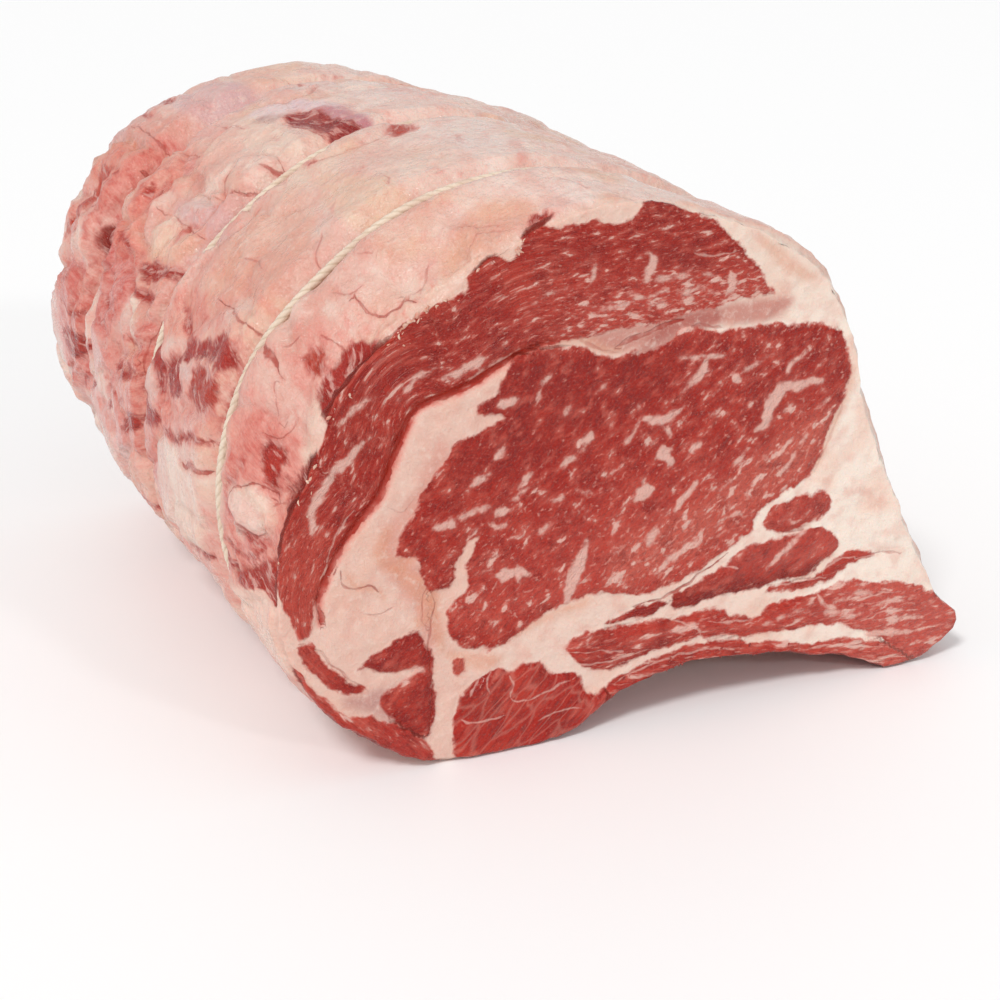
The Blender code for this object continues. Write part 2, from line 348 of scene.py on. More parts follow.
SEAM = ((-25, 110.3), (-31, 109), (-37, 106.5), (-43, 103.5), (-50, 100.8), (-56, 99.6),
        (-60, 98), (-63, 93), (-66, 86), (-69, 79), (-71.5, 75), (-76, 70.5), (-80, 65),
        (-84, 58), (-86, 52), (-86, 46))
SEAM_TO_THE_RIGHT = ((40, 116), (20, 114), (0, 112))
CAP = (
    (-30, 142.5), (-25, 139.3), (-20, 138.7), (-12, 139.4), (-7, 138), (-3, 139), (1, 143),
    (4, 144.6), (8, 143), (14, 139), (20, 135.5), (25, 131.5), (29, 128), (32, 124),
    (35, 120.5), (36.8, 117.5), (39.5, 115.3), (33, 115.2), (25, 114.8), (20, 113.4),
    (14, 112.8), (8, 111.6), (0, 111), (-10, 110.6), (-19, 110.5), (-31, 109),
    (-37, 106.5), (-43, 103.5), (-50, 100.8), (-56, 99.6), (-60, 98), (-63, 93),
    (-66, 86), (-69, 79), (-71.5, 75), (-76, 70.5), (-80, 65), (-84, 58), (-87, 52),
    (-88, 46), (-91, 43), (-94, 49), (-97, 56), (-102, 62), (-101, 72), (-96, 78),
    (-94, 84), (-91, 88), (-87, 90), (-84, 94), (-83.5, 100), (-83, 107), (-79, 111),
    (-74, 113), (-70, 115), (-65, 118), (-60, 121), (-54, 123.5), (-48, 125), (-46, 130),
    (-42, 134), (-39, 134.5), (-36, 132), (-33, 134), (-32, 139),
)
EYE = (
    (-37, 103), (-39, 98.5), (-44, 96.5), (-43, 94), (-38, 93.3), (-37, 91.5), (-42, 90),
    (-50, 87.3), (-51, 85), (-55, 81.5), (-58, 76.5), (-61, 71), (-64, 67), (-66, 62),
    (-64.5, 60.2), (-60, 59.3), (-59.3, 55), (-57.5, 51), (-54, 49.4), (-51.3, 50.5),
    (-50, 55), (-47, 60.5), (-44, 62), (-45, 59), (-47, 54), (-47.5, 48), (-52.5, 44),
    (-52, 37.5), (-48.5, 33), (-45, 31.2), (-38, 30.6), (-33, 32.3), (-30, 35), (-25, 38),
    (-17, 39.5), (-10, 40), (-5, 39.3), (0, 38), (8, 38.2), (17, 40.6), (22, 42.8),
    (27, 46), (31.5, 48.4), (34.6, 50.4), (36, 53.6), (38.5, 56.6), (44, 59.2), (50, 61.4),
    (54, 66.5), (56, 73), (58.6, 78), (60.8, 83), (62.3, 89), (62.3, 95), (61, 99.5), (57.5, 103.5), (52.5, 105.2),
    (46, 106.3), (38, 106.8), (30, 107.2), (24, 107), (18, 108.3), (13, 109), (8, 106.7),
    (2, 105), (-4, 104.4), (-8, 103.5), (-12, 105.5), (-17, 108), (-22, 109.3),
    (-28, 109), (-33, 107.6),
)
CHINE = (
    (-76, 32.5), (-70, 36), (-66, 39), (-62, 40), (-59.3, 38), (-59, 35), (-56.7, 32),
    (-56.3, 22), (-57, 10), (-61, 9), (-65, 13), (-69, 18), (-71, 22.5), (-66, 25.5),
    (-61, 28.5), (-66, 29), (-71, 29.2), (-73.5, 31),
)
CHINE_STRIP = ((-92, 41), (-88, 41), (-86, 36), (-81, 31), (-75, 26), (-78, 25.5),
               (-83, 27.5), (-87, 31.5), (-90, 36))
RIM_BAND = ((-97, 35), (-92, 34), (-89.5, 30), (-86, 26), (-81, 20), (-74, 18), (-67, 14.5),
            (-61, 10), (-57.5, 5), (-55, -3), (-68, -2), (-84, 10), (-95, 24))
PINK_BIT = ((-51, 29), (-48, 29.6), (-47.5, 26), (-50, 24.6))
FINGER = (
    (-50, 17), (-48, 20), (-45, 22), (-41, 24.2), (-38, 24), (-35, 22.5), (-32, 23.6),
    (-28, 24), (-25, 22), (-22, 19.8), (-17, 18.6), (-14, 17), (-14, 13), (-11, 11),
    (-5, 13), (-4, 9), (-10, 5), (-14, 1), (-25, -2), (-45, -2), (-51, 1), (-51, 9),
)
STRIP = (
    (-19.5, 27), (-15, 29), (-8, 29.6), (5, 29.4), (15, 29), (25, 29.5), (29, 27),
    (34, 26), (38, 25), (43, 27.3), (50, 28), (58, 28.6), (66, 30.5), (71, 29),
    (80, 27.5), (88, 25), (95, 21), (100, 19), (108, 14), (106, 6), (96, 1), (86, 2),
    (80, 8), (76, 12), (68, 15.5), (62, 18), (50, 18.6), (38, 19.4), (28, 20.6), (20, 22),
    (10, 20.8), (0, 19), (-9, 17.8), (-14, 20), (-18, 24),
)
UNDER_STRIP = (
    (-10, 7), (-6, 14.5), (0, 16.5), (10, 18.8), (20, 20), (28, 19.4), (36, 17.6),
    (45, 15.5), (55, 13.4), (66, 13), (78, 9.5), (88, 6), (86, -2), (60, 6), (42, 8),
    (17, 10), (-4, 5),
)
ABOVE_STRIP = (
    (12, 33), (13, 35.8), (20, 38.2), (26, 41.2), (30, 43.8), (35, 46.2), (40, 46.4), (46, 46.2),
    (52, 48), (58, 47), (62, 43), (62, 40), (60, 38), (57, 37), (54, 34.5), (49, 34),
    (45, 34.6), (40, 33.2), (33, 32.6), (26, 33), (20, 32), (14, 31.4),
)
NODULE = ((38.6, 51.6), (41, 55), (46, 57), (52, 58), (56, 58.6), (58.6, 55.4), (58.2, 52),
          (55, 50.5), (50, 48.6), (45, 47.6), (41, 49))
TAIL_STREAK = ((40, 31), (50, 30.8), (60, 31.2), (66, 34), (75, 36), (70, 38), (66, 38.4),
               (61, 36), (55, 33), (47, 33))
THIN_EDGE = ((-8, 31), (-2, 33), (3, 35), (8, 34.8), (11, 33.4), (6, 31.4), (0, 31))
# Each muscle: its outline, how its fibres run in degrees from X (None follows the seam),
# how many times longer than wide its streaks are, how wide they are in millimetres, how
# marbled it is, and its red.
MUSCLES = (
    (CAP, None, 2.6, 1.1, 0.88, "#9A2017"),
    (EYE, 38, 1.5, 2.0, 0.84, "#991F16"),
    (CHINE, 30, 1.8, 2.2, 0.55, "#8E1A13"),
    (CHINE_STRIP, -50, 3.0, 1.4, 0.40, "#96221A"),
    (FINGER, 42, 3.2, 2.3, 0.15, "#A2241C"),
    (STRIP, 3, 2.6, 2.0, 0.95, "#AE362C"),
    (UNDER_STRIP, -6, 4.0, 1.6, 1.0, "#AE3228"),
    (ABOVE_STRIP, 25, 2.0, 2.4, 0.35, "#7C160F"),
    (NODULE, 30, 1.6, 1.8, 0.40, "#84180F"),
    (TAIL_STREAK, 12, 5.0, 1.4, 0.50, "#AA2E22"),
    (THIN_EDGE, 10, 3.0, 1.2, 0.50, "#962219"),
    (RIM_BAND, -42, 3.5, 1.5, 0.75, "#A8322A"),
    (PINK_BIT, 60, 2.0, 1.2, 0.60, "#C05A4C"),
)
# The bigger flecks of fat in the lean, as lines with a width.
FLECKS = (
    (((-56, 66), (-52, 67), (-50, 66)), 2.6), (((-50, 67.5), (-46, 69), (-40, 70)), 1.4),
    (((-40, 68), (-36, 68)), 2.6), (((-41, 65), (-38, 64), (-36, 65)), 2.2),
    (((-38, 96), (-34, 97)), 3.0), (((-28.5, 93), (-27, 99), (-23.5, 103.5)), 1.4),
    (((-40, 82), (-36.5, 85)), 2.4), (((-15, 84), (-12, 84.5)), 3.4),
    (((-21, 78), (-17, 79.5)), 2.6), (((-18, 80), (-13, 82.5)), 0.9),
    (((-4, 80.5), (-2, 82), (-1, 85), (1, 87)), 1.8), (((0.5, 91), (1.5, 87)), 1.2),
    (((1, 86.5), (5, 86), (8, 85.5), (13, 88)), 2.8), (((7, 86), (9, 80.5)), 1.5),
    (((6, 75.5), (9.5, 77.5)), 3.6), (((9, 76), (10.5, 72)), 1.8),
    (((15, 76.5), (19, 77.5)), 2.4), (((11, 101.6), (18, 101), (25, 100)), 1.3),
    (((19, 100.5), (18.5, 97), (15, 94.3), (13, 92.5)), 2.6),
    (((27, 94.5), (29.5, 92.5)), 2.8), (((30, 95), (34, 97), (39, 99.5)), 1.3),
    (((43, 93), (45, 96), (49, 98.5)), 1.7), (((34.5, 79), (37, 80), (39, 84)), 3.2),
    (((37, 82), (41, 88), (44, 90)), 4.4), (((40, 89), (46, 89.5), (54, 90)), 3.0),
    (((41, 69.5), (46, 75)), 1.7), (((43, 66), (48, 71)), 1.2), (((48, 72.5), (50.5, 75)), 1.8),
    (((0, 65), (2, 66.5), (5, 67.5)), 4.4), (((2, 68), (2.5, 71.5)), 1.2),
    (((12, 60), (14.5, 63.5), (17.5, 67)), 2.6), (((3, 51), (5, 54), (6.5, 57)), 2.4),
    (((-6.5, 56.5), (-4.5, 60)), 1.9), (((-40, 50.5), (-35, 50.8), (-29.5, 50)), 2.8),
    (((-33, 47.5), (-33.5, 53)), 2.4), (((6, 43), (10, 46), (15, 48.7), (19, 51)), 2.4),
    (((-20, 39), (-18, 45), (-15.5, 50), (-14, 55.5)), 4.0), (((24, 53.5), (28, 56), (34, 55)), 1.2),
    (((-24, 68.5), (-21, 69)), 1.5), (((-17, 70.5), (-11.5, 68.5)), 1.1),
    (((-44, 52), (-39, 53)), 1.0), (((-8, 73), (-4, 75)), 1.3), (((-46, 76), (-41, 78.5)), 1.5),
    (((-33, 74), (-29, 77.5)), 1.8), (((-36, 70.5), (-30, 73)), 1.3), (((20, 84), (24, 87)), 1.6),
    (((28, 70), (33, 74)), 1.6), (((-22, 90), (-19, 93.5)), 1.2), (((24, 63), (28, 66.5)), 1.4),
    (((-28, 60), (-23, 63)), 1.5), (((-12, 96), (-8, 98)), 1.0), (((52, 82), (57, 84.5)), 1.5),
    (((-87.5, 70), (-87, 77), (-82, 84), (-76, 89.5), (-72, 93)), 2.6),
    (((-53, 105), (-46, 107), (-42, 109)), 2.6), (((24, 116), (25.5, 119), (25, 122)), 3.2),
    (((1, 122.5), (3, 127), (1.5, 130)), 2.8), (((4, 123), (9, 122.5), (14, 124)), 1.6),
    (((-46, 104), (-40, 106.4), (-33, 109.5)), 1.5), (((-14, 124), (-13, 129)), 1.6),
    (((12, 116), (15, 116.5)), 2.2), (((4, 115.5), (7, 116.5)), 2.4), (((-31, 121), (-17, 124)), 0.9),
    (((-80, 97), (-75, 101), (-70, 103)), 1.4), (((-65, 101), (-60, 106), (-55, 108)), 1.3),
    (((-67, 26.5), (-61, 29), (-59.5, 28)), 2.6), (((57, 28.5), (58.5, 25), (63, 21.5)), 1.6),
    (((40, 39), (45, 43), (50, 47), (54, 49)), 1.5), (((52, 53.5), (49, 51), (45, 51.5)), 0.9),
    (((62, 24), (68, 26), (74, 25)), 1.6), (((74, 21), (80, 22), (86, 20)), 1.4),
    (((70, 13), (80, 12), (90, 10)), 2.0), (((84, 16), (92, 14)), 1.2), (((66, 19), (72, 20)), 1.8),
    (((56, 22), (64, 21.4)), 1.2), (((40, 22), (48, 24), (54, 23.6)), 1.4), (((10, 25), (20, 26.4)), 1.3),
    (((10, 118), (16, 119.5), (20, 118)), 1.6), (((-14, 116), (-8, 117.5), (-2, 117)), 1.4),
    (((-4, 120), (2, 119), (8, 120)), 1.2), (((16, 123), (22, 121)), 1.4),
)
# Thin white membranes between bundles of fibres, as lines.
MEMBRANES = (
    ((-47, 17.5), (-45.5, 20.5), (-43, 23)), ((-41.5, 17.5), (-42, 21), (-40.5, 24)),
    ((-35, 22.5), (-34.3, 19), (-35, 16), (-32.5, 14.3), (-27, 15), (-21, 16.5), (-16.5, 17.5)),
    ((-50, 12), (-45, 10.5), (-38, 11)), ((-28, 7.5), (-21, 9), (-15, 8.5)),
    ((-17, 24.6), (-10, 24), (-2, 22.8)), ((12, 28.8), (20, 24), (21, 21.5)),
    ((-16, 20.8), (-8, 20.4), (5, 21.4)), ((22, 26.5), (28, 25), (36, 24)),
    ((58, 34), (63, 36.5), (68, 37)), ((42, 32.2), (52, 32.6), (60, 32)),
    ((66, 23), (74, 24.5), (82, 24)), ((70, 17), (80, 18.5), (90, 17)),
    ((-5, 13.5), (6, 16.5), (20, 17.8), (32, 16.4)), ((52, 11.6), (66, 10.5), (80, 6.5)),
    ((68, 36), (76, 36.4), (83, 37)), ((26, 42.5), (28, 41), (31, 40.5)),
    ((14, 128.5), (22, 127), (27, 127.5)), ((-84, 62), (-81, 70), (-76, 75)),
)
# Fine creases and tears in the cut fat: a line, its width, and how dark its painted shade and blood are.
FAT_CREASES = (
    (SEAM, 2.1, 0.85), (((-7, 106.4), (0, 108.6), (5, 110), (9.5, 111.4), (13, 111.6)), 1.3, 0.9),
    (((53, 63.5), (57, 71), (60, 79), (62, 86)), 0.7, 0.2), (((14, 109.8), (20, 108.6),
    (24, 107.6)), 0.7, 0.5), (((-28, 110.4), (-18, 110.2), (-11, 106.5), (-6, 104.6)), 0.8, 0.35),
    (((0, 34.5), (10, 36), (20, 40.5), (29, 45)), 0.7, 0.8), (((72, 37), (84, 35.4)), 0.5, 0.5),
    (((-90, 42), (-86, 38), (-80, 31), (-75, 26)), 0.6, 0.5), (((-86.5, 52), (-85, 46)), 1.2, 0.8),
    (((-80.5, 59.5), (-80, 55.5), (-76.8, 54), (-72.7, 54.2), (-70.5, 51.5)), 0.45, 0.6),
    (((-75, 47), (-71, 46), (-66.5, 47)), 0.3, 0.4), (((-60, 57), (-58.3, 51), (-59.6, 44), (-58, 38)),
    0.4, 0.4), (((-57, 50), (-55.6, 46), (-57.3, 40), (-57.6, 31), (-56.8, 20), (-57.6, 9)), 0.5, 0.55),
    (((-68, 74), (-64, 72), (-61, 74)), 0.35, 0.3),
)
# Where the fat is stained peach beside the lean.
PEACH_LINES = (
    (((-26, 110.8), (-18, 110.6), (-9, 106), (-5, 105.4)), 2.0), (((53, 65), (57, 73),
    (60, 79)), 2.4), (((58.5, 78), (62, 84), (63.4, 92)), 2.2), (((-56, 53), (-56, 42),
    (-54, 33)), 3.0), (((-52, 31), (-46, 28), (-38, 27)), 3.4), (((-79, 59),
    (-77, 55), (-72, 53), (-69, 50)), 1.4), (((-66, 57), (-60, 51), (-58, 44), (-61, 41)), 5.0),
    (((-59, 62), (-66, 58), (-70, 62),
    (-68, 68)), 3.4), (((-35, 33), (-22, 37), (-12, 38.6)), 1.6), (((50, 118), (44, 121),
    (34, 130)), 3.0),
)


def seam_frame(places):
    """Along and across the fibres of the cap, which lie along the seam under it."""
    line = np.array(SEAM_TO_THE_RIGHT + SEAM, float)
    return beside(places, curve_through(line, np.linspace(0, len(line) - 1, 90), closed=False))


count = len(points)
lean = np.full(count, -REACH)
grain = np.zeros((count, 3))
marbled = np.full(count, 0.4)
fleck = np.full(count, -REACH)
fat_colour = np.tile(hex_colour("#E2C6B8")[:3], (count, 1))
lean_colour = np.tile(hex_colour("#A32A1F")[:3], (count, 1))
softness = np.full(count, 0.5)  # how gradually lean gives way to fat, in millimetres
bloodied_and_shaded = np.zeros(count)  # how bloody the fat is, and how much painted shade its creases get
crease_side, crease_half, crease_dark = np.full(count, REACH), np.full(count, -REACH), np.zeros(count)
film_side, film_half = np.full(count, REACH), np.full(count, -REACH)
relief = np.zeros(count)  # millimetres outwards


def cut_muscles(where, places, seed):
    """Lays the muscles, their fibres and the seams into one cut, given its own X and Z."""
    spots = np.insert(places, 1, seed, axis=1)
    ragged = places + 0.9 * np.stack([lumps(spots, 8, 65), lumps(spots, 8, 66)], -1)
    ragged += 0.55 * np.stack([lumps(spots, 3, 63), lumps(spots, 3, 64)], -1)
    depth = np.full(len(places), -REACH)
    fibres = np.zeros((len(places), 3))
    share = np.full(len(places), 0.4)
    red = lean_colour[where]
    bulge = np.zeros(len(places))
    for number, (outline, degrees, stretch, width, marbling, colour) in enumerate(MUSCLES):
        inside = depth_inside(ragged, outline)
        mine = inside > depth
        depth[mine] = inside[mine]
        if degrees is None:
            run, across = seam_frame(places)
        else:
            turn = math.radians(degrees)
            run = places @ (math.cos(turn), math.sin(turn))
            across = places @ (-math.sin(turn), math.cos(turn))
        pattern = np.stack([run / stretch, across, 0 * run + 40 * (number + seed)], -1) / width
        fibres[mine] = pattern[mine]
        share[mine] = marbling
        red[mine] = hex_colour(colour)[:3]
    bulge += 0.4 * ramp(-0.3, 2.5, depth)
    bulge += (1 - ramp(-1, 1, depth)) * (0.5 * lumps(spots, 10, 60) + 0.24 * lumps(spots, 3, 61))
    bulge += 0.12 * ramp(-1, 1, depth) * lumps(spots, 2.4, 62)
    stain(red, 0.6 * ramp(0.0, 0.6, lumps(spots, 17, 20)), "#861E17")
    stain(red, 0.5 * ramp(0.05, 0.6, lumps(spots, 12, 21)), "#B84436")
    # The eye is darkest and least marbled at its upper left, and palest along the bottom.
    for shadowed, colour, darker, leaner in (
        (((-52, 78), (-40, 108), (-8, 106), (14, 108), (12, 94), (-12, 86), (-34, 76)),
         "#84140E", 0.6, 0.3),
        (((-84, 100), (-72, 113), (-52, 123), (-38, 127), (-36, 118), (-56, 108), (-74, 98)),
         "#8A1810", 0.6, 0.12),
        (((-26, 138), (0, 134), (22, 131), (20, 124), (-6, 126), (-28, 130)), "#8A1C16", 0.5, 0.1),
        (((12, 106), (60, 104), (60, 92), (30, 94)), "#8A1C16", 0.4, 0.0),
    ):
        within = ramp(-4, 5, depth_inside(places, shadowed))
        stain(red, darker * within, colour)
        share -= leaner * within
    in_the_eye = ramp(-60, -50, places[:, 0]) * ramp(34, 42, places[:, 1])
    stain(red, 0.5 * (1 - ramp(34, 84, places[:, 1] - 0.25 * places[:, 0])) * in_the_eye, "#CC5A4E")
    share += 0.22 * (1 - ramp(30, 76, places[:, 1] - 0.25 * places[:, 0])) * in_the_eye
    by_the_strip = depth_inside(places, ((-6, 42), (14, 46), (34, 56), (52, 68), (57, 80), (44, 76),
                                         (22, 62), (-2, 54)))
    stain(red, 0.5 * ramp(-4, 3, by_the_strip), "#CC7060")
    share += 0.2 * ramp(-4, 3, by_the_strip)
    thin_lean = ramp(46, 78, places[:, 0]) * (1 - ramp(30, 40, places[:, 1]))
    stain(red, 0.45 * thin_lean, "#CE6E62")
    share += 0.25 * thin_lean
    cap_end = (1 - ramp(-88, -80, places[:, 0])) * (1 - ramp(60, 84, places[:, 1]))
    stain(red, 0.4 * cap_end, "#CC5E50")
    low_cap = ramp(-40, -5, places[:, 0]) * ramp(104, 110, places[:, 1])
    low_cap *= 1 - ramp(116, 130, places[:, 1])
    stain(red, 0.5 * low_cap, "#C65448")
    share += 0.35 * low_cap
    drawn = places + 0.7 * np.stack([lumps(spots, 4, 63), lumps(spots, 4, 64)], -1)
    white = np.full(len(places), -REACH)
    for line, width in FLECKS:
        white = np.maximum(white, stroke(drawn, line, width))
    films = [(line, 0.5, 1.0) for line in MEMBRANES]
    film_side[where], film_half[where], _ = crease_beside(drawn, films, 1.4)
    bulge -= 0.25 * ramp(-1.2, 0.2, film_half[where] - np.abs(film_side[where]))
    fleck[where] = white
    crease_side[where], crease_half[where], crease_dark[where] = crease_beside(
        drawn, FAT_CREASES, 1.6)
    seam = stroke(places, SEAM, 2.4)
    bulge -= 1.0 * ramp(-1.4, 1.1, seam)
    bloodied_and_shaded[where] = 0.9 * ramp(-1.6, 0.4, seam) + 0.45 * ramp(-1.2, 0.3, depth)
    for outline in (FINGER, CHINE, ABOVE_STRIP, NODULE, STRIP):
        bulge += 0.7 * ramp(0, 4, depth_inside(places, outline))
    lean[where], grain[where], marbled[where] = depth, fibres, share
    cream = fat_colour[where]
    stain(cream, 0.8 * ramp(10, 60, places[:, 0] + 0.5 * places[:, 1] - 20), "#EEE0D3")
    stain(cream, 0.5 * ramp(0.1, 0.6, lumps(spots, 14, 22)), "#E3B9A6")
    stain(cream, 0.35 * ramp(0.1, 0.5, lumps(spots, 5, 23)), "#D9A898")
    stain(cream, 0.5 * ramp(100, 120, places[:, 1]), "#DDBFAE")
    left = 1 - ramp(-64, -30, places[:, 0] - 0.3 * places[:, 1] + 8 * lumps(spots, 12, 24))
    stain(cream, 0.45 * left, "#D6A494")
    lens = depth_inside(places, ((-14, 110), (0, 111.6), (13, 112.5), (30, 114), (44, 113),
                                 (36, 108), (16, 109.5), (4, 106.6), (-6, 105.4)))
    stain(cream, 0.9 * ramp(-2, 1.5, lens), "#BE8074")
    lens = depth_inside(places, ((9, 111.5), (14, 113), (21, 113), (23, 110), (17, 107.6), (13, 106),
                                 (8, 104.4), (0, 104), (1, 106)))
    stain(cream, 0.75 * ramp(-1.5, 1, lens), "#A85A50")
    by_the_eye = depth_inside(places, ((-54, 90), (-62, 76), (-70, 65), (-69, 57), (-64, 50), (-61, 43),
                                       (-60, 32), (-56, 32), (-56, 50), (-60, 62), (-52, 82)))
    stain(cream, 0.5 * ramp(-2, 2, by_the_eye + 1.5 * lumps(spots, 5, 25)), "#C97E70")
    for line, width in PEACH_LINES:
        stain(cream, 0.45 * ramp(-1.6, 1.0, stroke(drawn, line, width)), "#D08E70")
    low_left = depth_inside(places, ((-80, 24), (-62, 24), (-58, 12), (-62, 9), (-72, 18)))
    stain(cream, 0.7 * ramp(-3, 2, low_left), "#B07C76")
    fat_colour[where] = cream
    lean_colour[where], relief[where] = red, bulge - 0.9


front_cut = points[:, 1] < FRONT + FRONT_EDGE + 0.01
front_places = points[front_cut][:, [0, 2]]
cut_muscles(front_cut, front_places, 0)

# ---------------------------------------------------------------------------------------
# The outside: a trimmed cover of fat with thin skins over it, and lean showing where the
# knife went through. Places on it are millimetres round the girth, from the chine corner
# along the bottom, flank and top, and millimetres along the roast.

girth_of = np.interp(around, trial, np.concatenate([[0], np.cumsum(girth_steps)])[:-1])
outside = np.zeros(count, bool)
outside[:wall_count] = (lengthwise > FRONT + FRONT_EDGE + 0.01).repeat(ring)
cover = np.stack(np.meshgrid(girth_of, lengthwise), -1).reshape(-1, 2)[outside[:wall_count]]
spots = points[outside]
girth, along = cover.T

# How the cover's colour drifts: cream on the flank and along the bottom edge, rosier over
# the shoulder.
cover_fat = np.tile(hex_colour("#DCB6A8")[:3], (len(spots), 1))
shoulder = ramp(395, 470, girth) * (1 - ramp(500, 530, girth))
edge_low = ramp(480, 505, girth) * (0.5 + 0.5 * ramp(-60, 30, along))
stain(cover_fat, 0.75 * shoulder + 0.2 * lumps(spots, 16, 1), "#D09488")
ridge = ramp(326, 346, girth) * (1 - ramp(372, 394, girth))
stain(cover_fat, 0.6 * ridge, "#EEDCD2")
stain(cover_fat, 0.75 * ramp(0.05, 0.5, lumps(spots, 22, 2)) * (1 - edge_low), "#DDB296")
stain(cover_fat, 0.5 * ramp(0.1, 0.6, lumps(spots * (1, 0.6, 1), 9, 3)) * (1 - edge_low), "#D4988A")
stain(cover_fat, 0.5 * ramp(0.1, 0.5, lumps(spots * (1, 0.5, 1), 6, 5)), "#E4CBBD")
stain(cover_fat, 0.85 * edge_low, "#E8CBBE")
on_the_flank = ramp(180, 200, girth) * (1 - ramp(330, 360, girth)) * ramp(-100, -80, along)
stain(cover_fat, 0.5 * on_the_flank * ramp(0.0, 0.5, lumps(spots * (1, 0.4, 1), 10, 75)), "#EBD4C6")
stain(cover_fat, 0.4 * on_the_flank * ramp(0.1, 0.5, lumps(spots * (1, 0.5, 1), 7, 76)), "#D08E80")
# Places where the cover is plainly rosier, creamier or greyer: girth, along, radius, colour.
for at_girth, at_along, radius, colour in (
    (436, 84, 9, "#CC7A62"), (424, 78, 10, "#D08468"), (440, 70, 8, "#C87A66"),
    (452, 50, 9, "#C27262"), (446, 54, 7, "#D0806A"), (424, 30, 11, "#C4887C"),
    (430, 44, 8, "#C8806E"), (424, 8, 8, "#DDA48C"), (448, 24, 7, "#DFAE94"),
    (462, -6, 8, "#D0917F"), (446, -34, 9, "#DCA890"), (410, -20, 14, "#E0BEA8"),
    (436, -26, 8, "#C89286"), (424, -98, 8, "#D28E78"), (400, -100, 9, "#D6A084"),
    (448, -90, 8, "#C4887A"), (462, -84, 9, "#D08C80"), (488, -76, 8, "#E2BCA8"),
    (400, 76, 10, "#CDA29E"), (410, 64, 8, "#DCA898"), (388, 84, 10, "#DDB0A0"),
    (470, 84, 7, "#C06E66"), (458, 82, 6, "#DCA690"), (388, -50, 16, "#E2C2B2"),
):
    away = np.hypot(girth - at_girth, along - at_along) + 3 * lumps(spots, 7, 8)
    stain(cover_fat, 0.75 * (1 - ramp(0.3 * radius, 1.2 * radius, away)), colour)

# Marks on the cover are drawn at places that waver, so that none has a ruled edge.
marked = cover + 1.3 * np.stack([lumps(spots, 7, 40), lumps(spots, 7, 41)], -1)
marked += 0.5 * np.stack([lumps(spots, 2.6, 42), lumps(spots, 2.6, 43)], -1)
depth = np.full(len(spots), -REACH)
cover_lean = np.tile(hex_colour("#AE3D33")[:3], (len(spots), 1))
cover_marbled = np.full(len(spots), 0.4)
# Lean that shows through the cover: outline, red, and how marbled it is.
LEAN_PATCHES = (
    (((386, -5), (386, 2), (387.5, 10), (389, 20), (391, 28.5), (396, 30.5), (398.5, 28),
      (398.6, 20), (397, 12), (396, 4), (395, -2), (394, -5.5)), "#8E2424", 0.2),
    (((472, -24), (468, -34), (463, -37), (461, -44), (459, -50), (456, -54), (455, -61),
      (459, -67), (464, -64), (463, -54), (466, -47), (468, -42), (472, -40), (476, -44),
      (479, -38), (476, -30)), "#A0302A", 0.35),
    (((466, -50), (465, -58), (467, -66), (474, -64), (477, -56), (474, -48), (470, -46)),
     "#B04438", 0.5),
    (((470, -6), (471, -16), (474, -25), (480, -30), (482, -26), (477, -18), (475, -8),
      (473, -3)), "#A8403A", 0.4),
    (((482, -4), (484, -16), (487, -27), (491, -26), (493, -16), (491, -5), (487, -2)),
     "#A8403A", 0.5),
    (((452, -6), (450.8, -1), (453, 6), (454, 16), (456, 26), (458.5, 30), (460.5, 24),
      (459.5, 14), (456, 5), (454, -4)), "#A02E26", 0.3),
    (((470, -92), (474, -90), (479, -92), (483, -95), (484, -99), (479, -98), (473, -97)),
     "#A82C22", 0.3),
    (((376, -14), (380, -14), (383, -20), (382, -23), (377, -21), (375, -18)), "#B84C3C", 0.3),
    (((493, -4), (496, 6), (501, 16), (504, 20), (505.5, 12), (502, 4), (498, -4), (495, -7)),
     "#A83A30", 0.45),
    # The darkest patch, in the valley at the back tie, is partly painted shadow of that valley.
    (((455, 60), (454, 67), (456, 72), (464, 72), (466, 66), (464, 60)), "#7A1812", 0.2),
    (((490, 76), (492, 87), (497, 88), (500, 80), (497, 73), (492, 71)), "#A63A30", 0.5),
    (((441, 81), (443, 88), (450, 88.5), (457, 91), (466, 95), (467, 91), (458, 85),
      (450, 81.5), (444, 79.5)), "#C0503E", 0.3),
    (((500, -106), (503, -97), (508, -88), (505, -78), (508, -77), (513, -87), (515, -95),
      (517, -106)), "#A6332A", 0.45),
    (((431, -107), (433, -101), (439, -97.5), (448, -98), (455, -101), (458, -107)),
     "#A2302A", 0.4),
    (((466, -107), (469, -103.6), (477, -101.6), (485, -103), (489, -107)), "#86201A", 0.3),
    (((374, -107), (375, -102.5), (378, -100.5), (381, -103), (382, -107)), "#9E2A20", 0.2),
    (((443, -91), (445, -95), (449, -97), (450, -93), (447, -90)), "#B4483A", 0.3),
)
for outline, red, marbling in LEAN_PATCHES:
    inside = depth_inside(marked, outline)
    mine = inside > depth
    depth[mine] = inside[mine]
    shown = mine & (inside > -1.5)
    cover_lean[shown] = hex_colour(red)[:3]
    cover_marbled[shown] = marbling
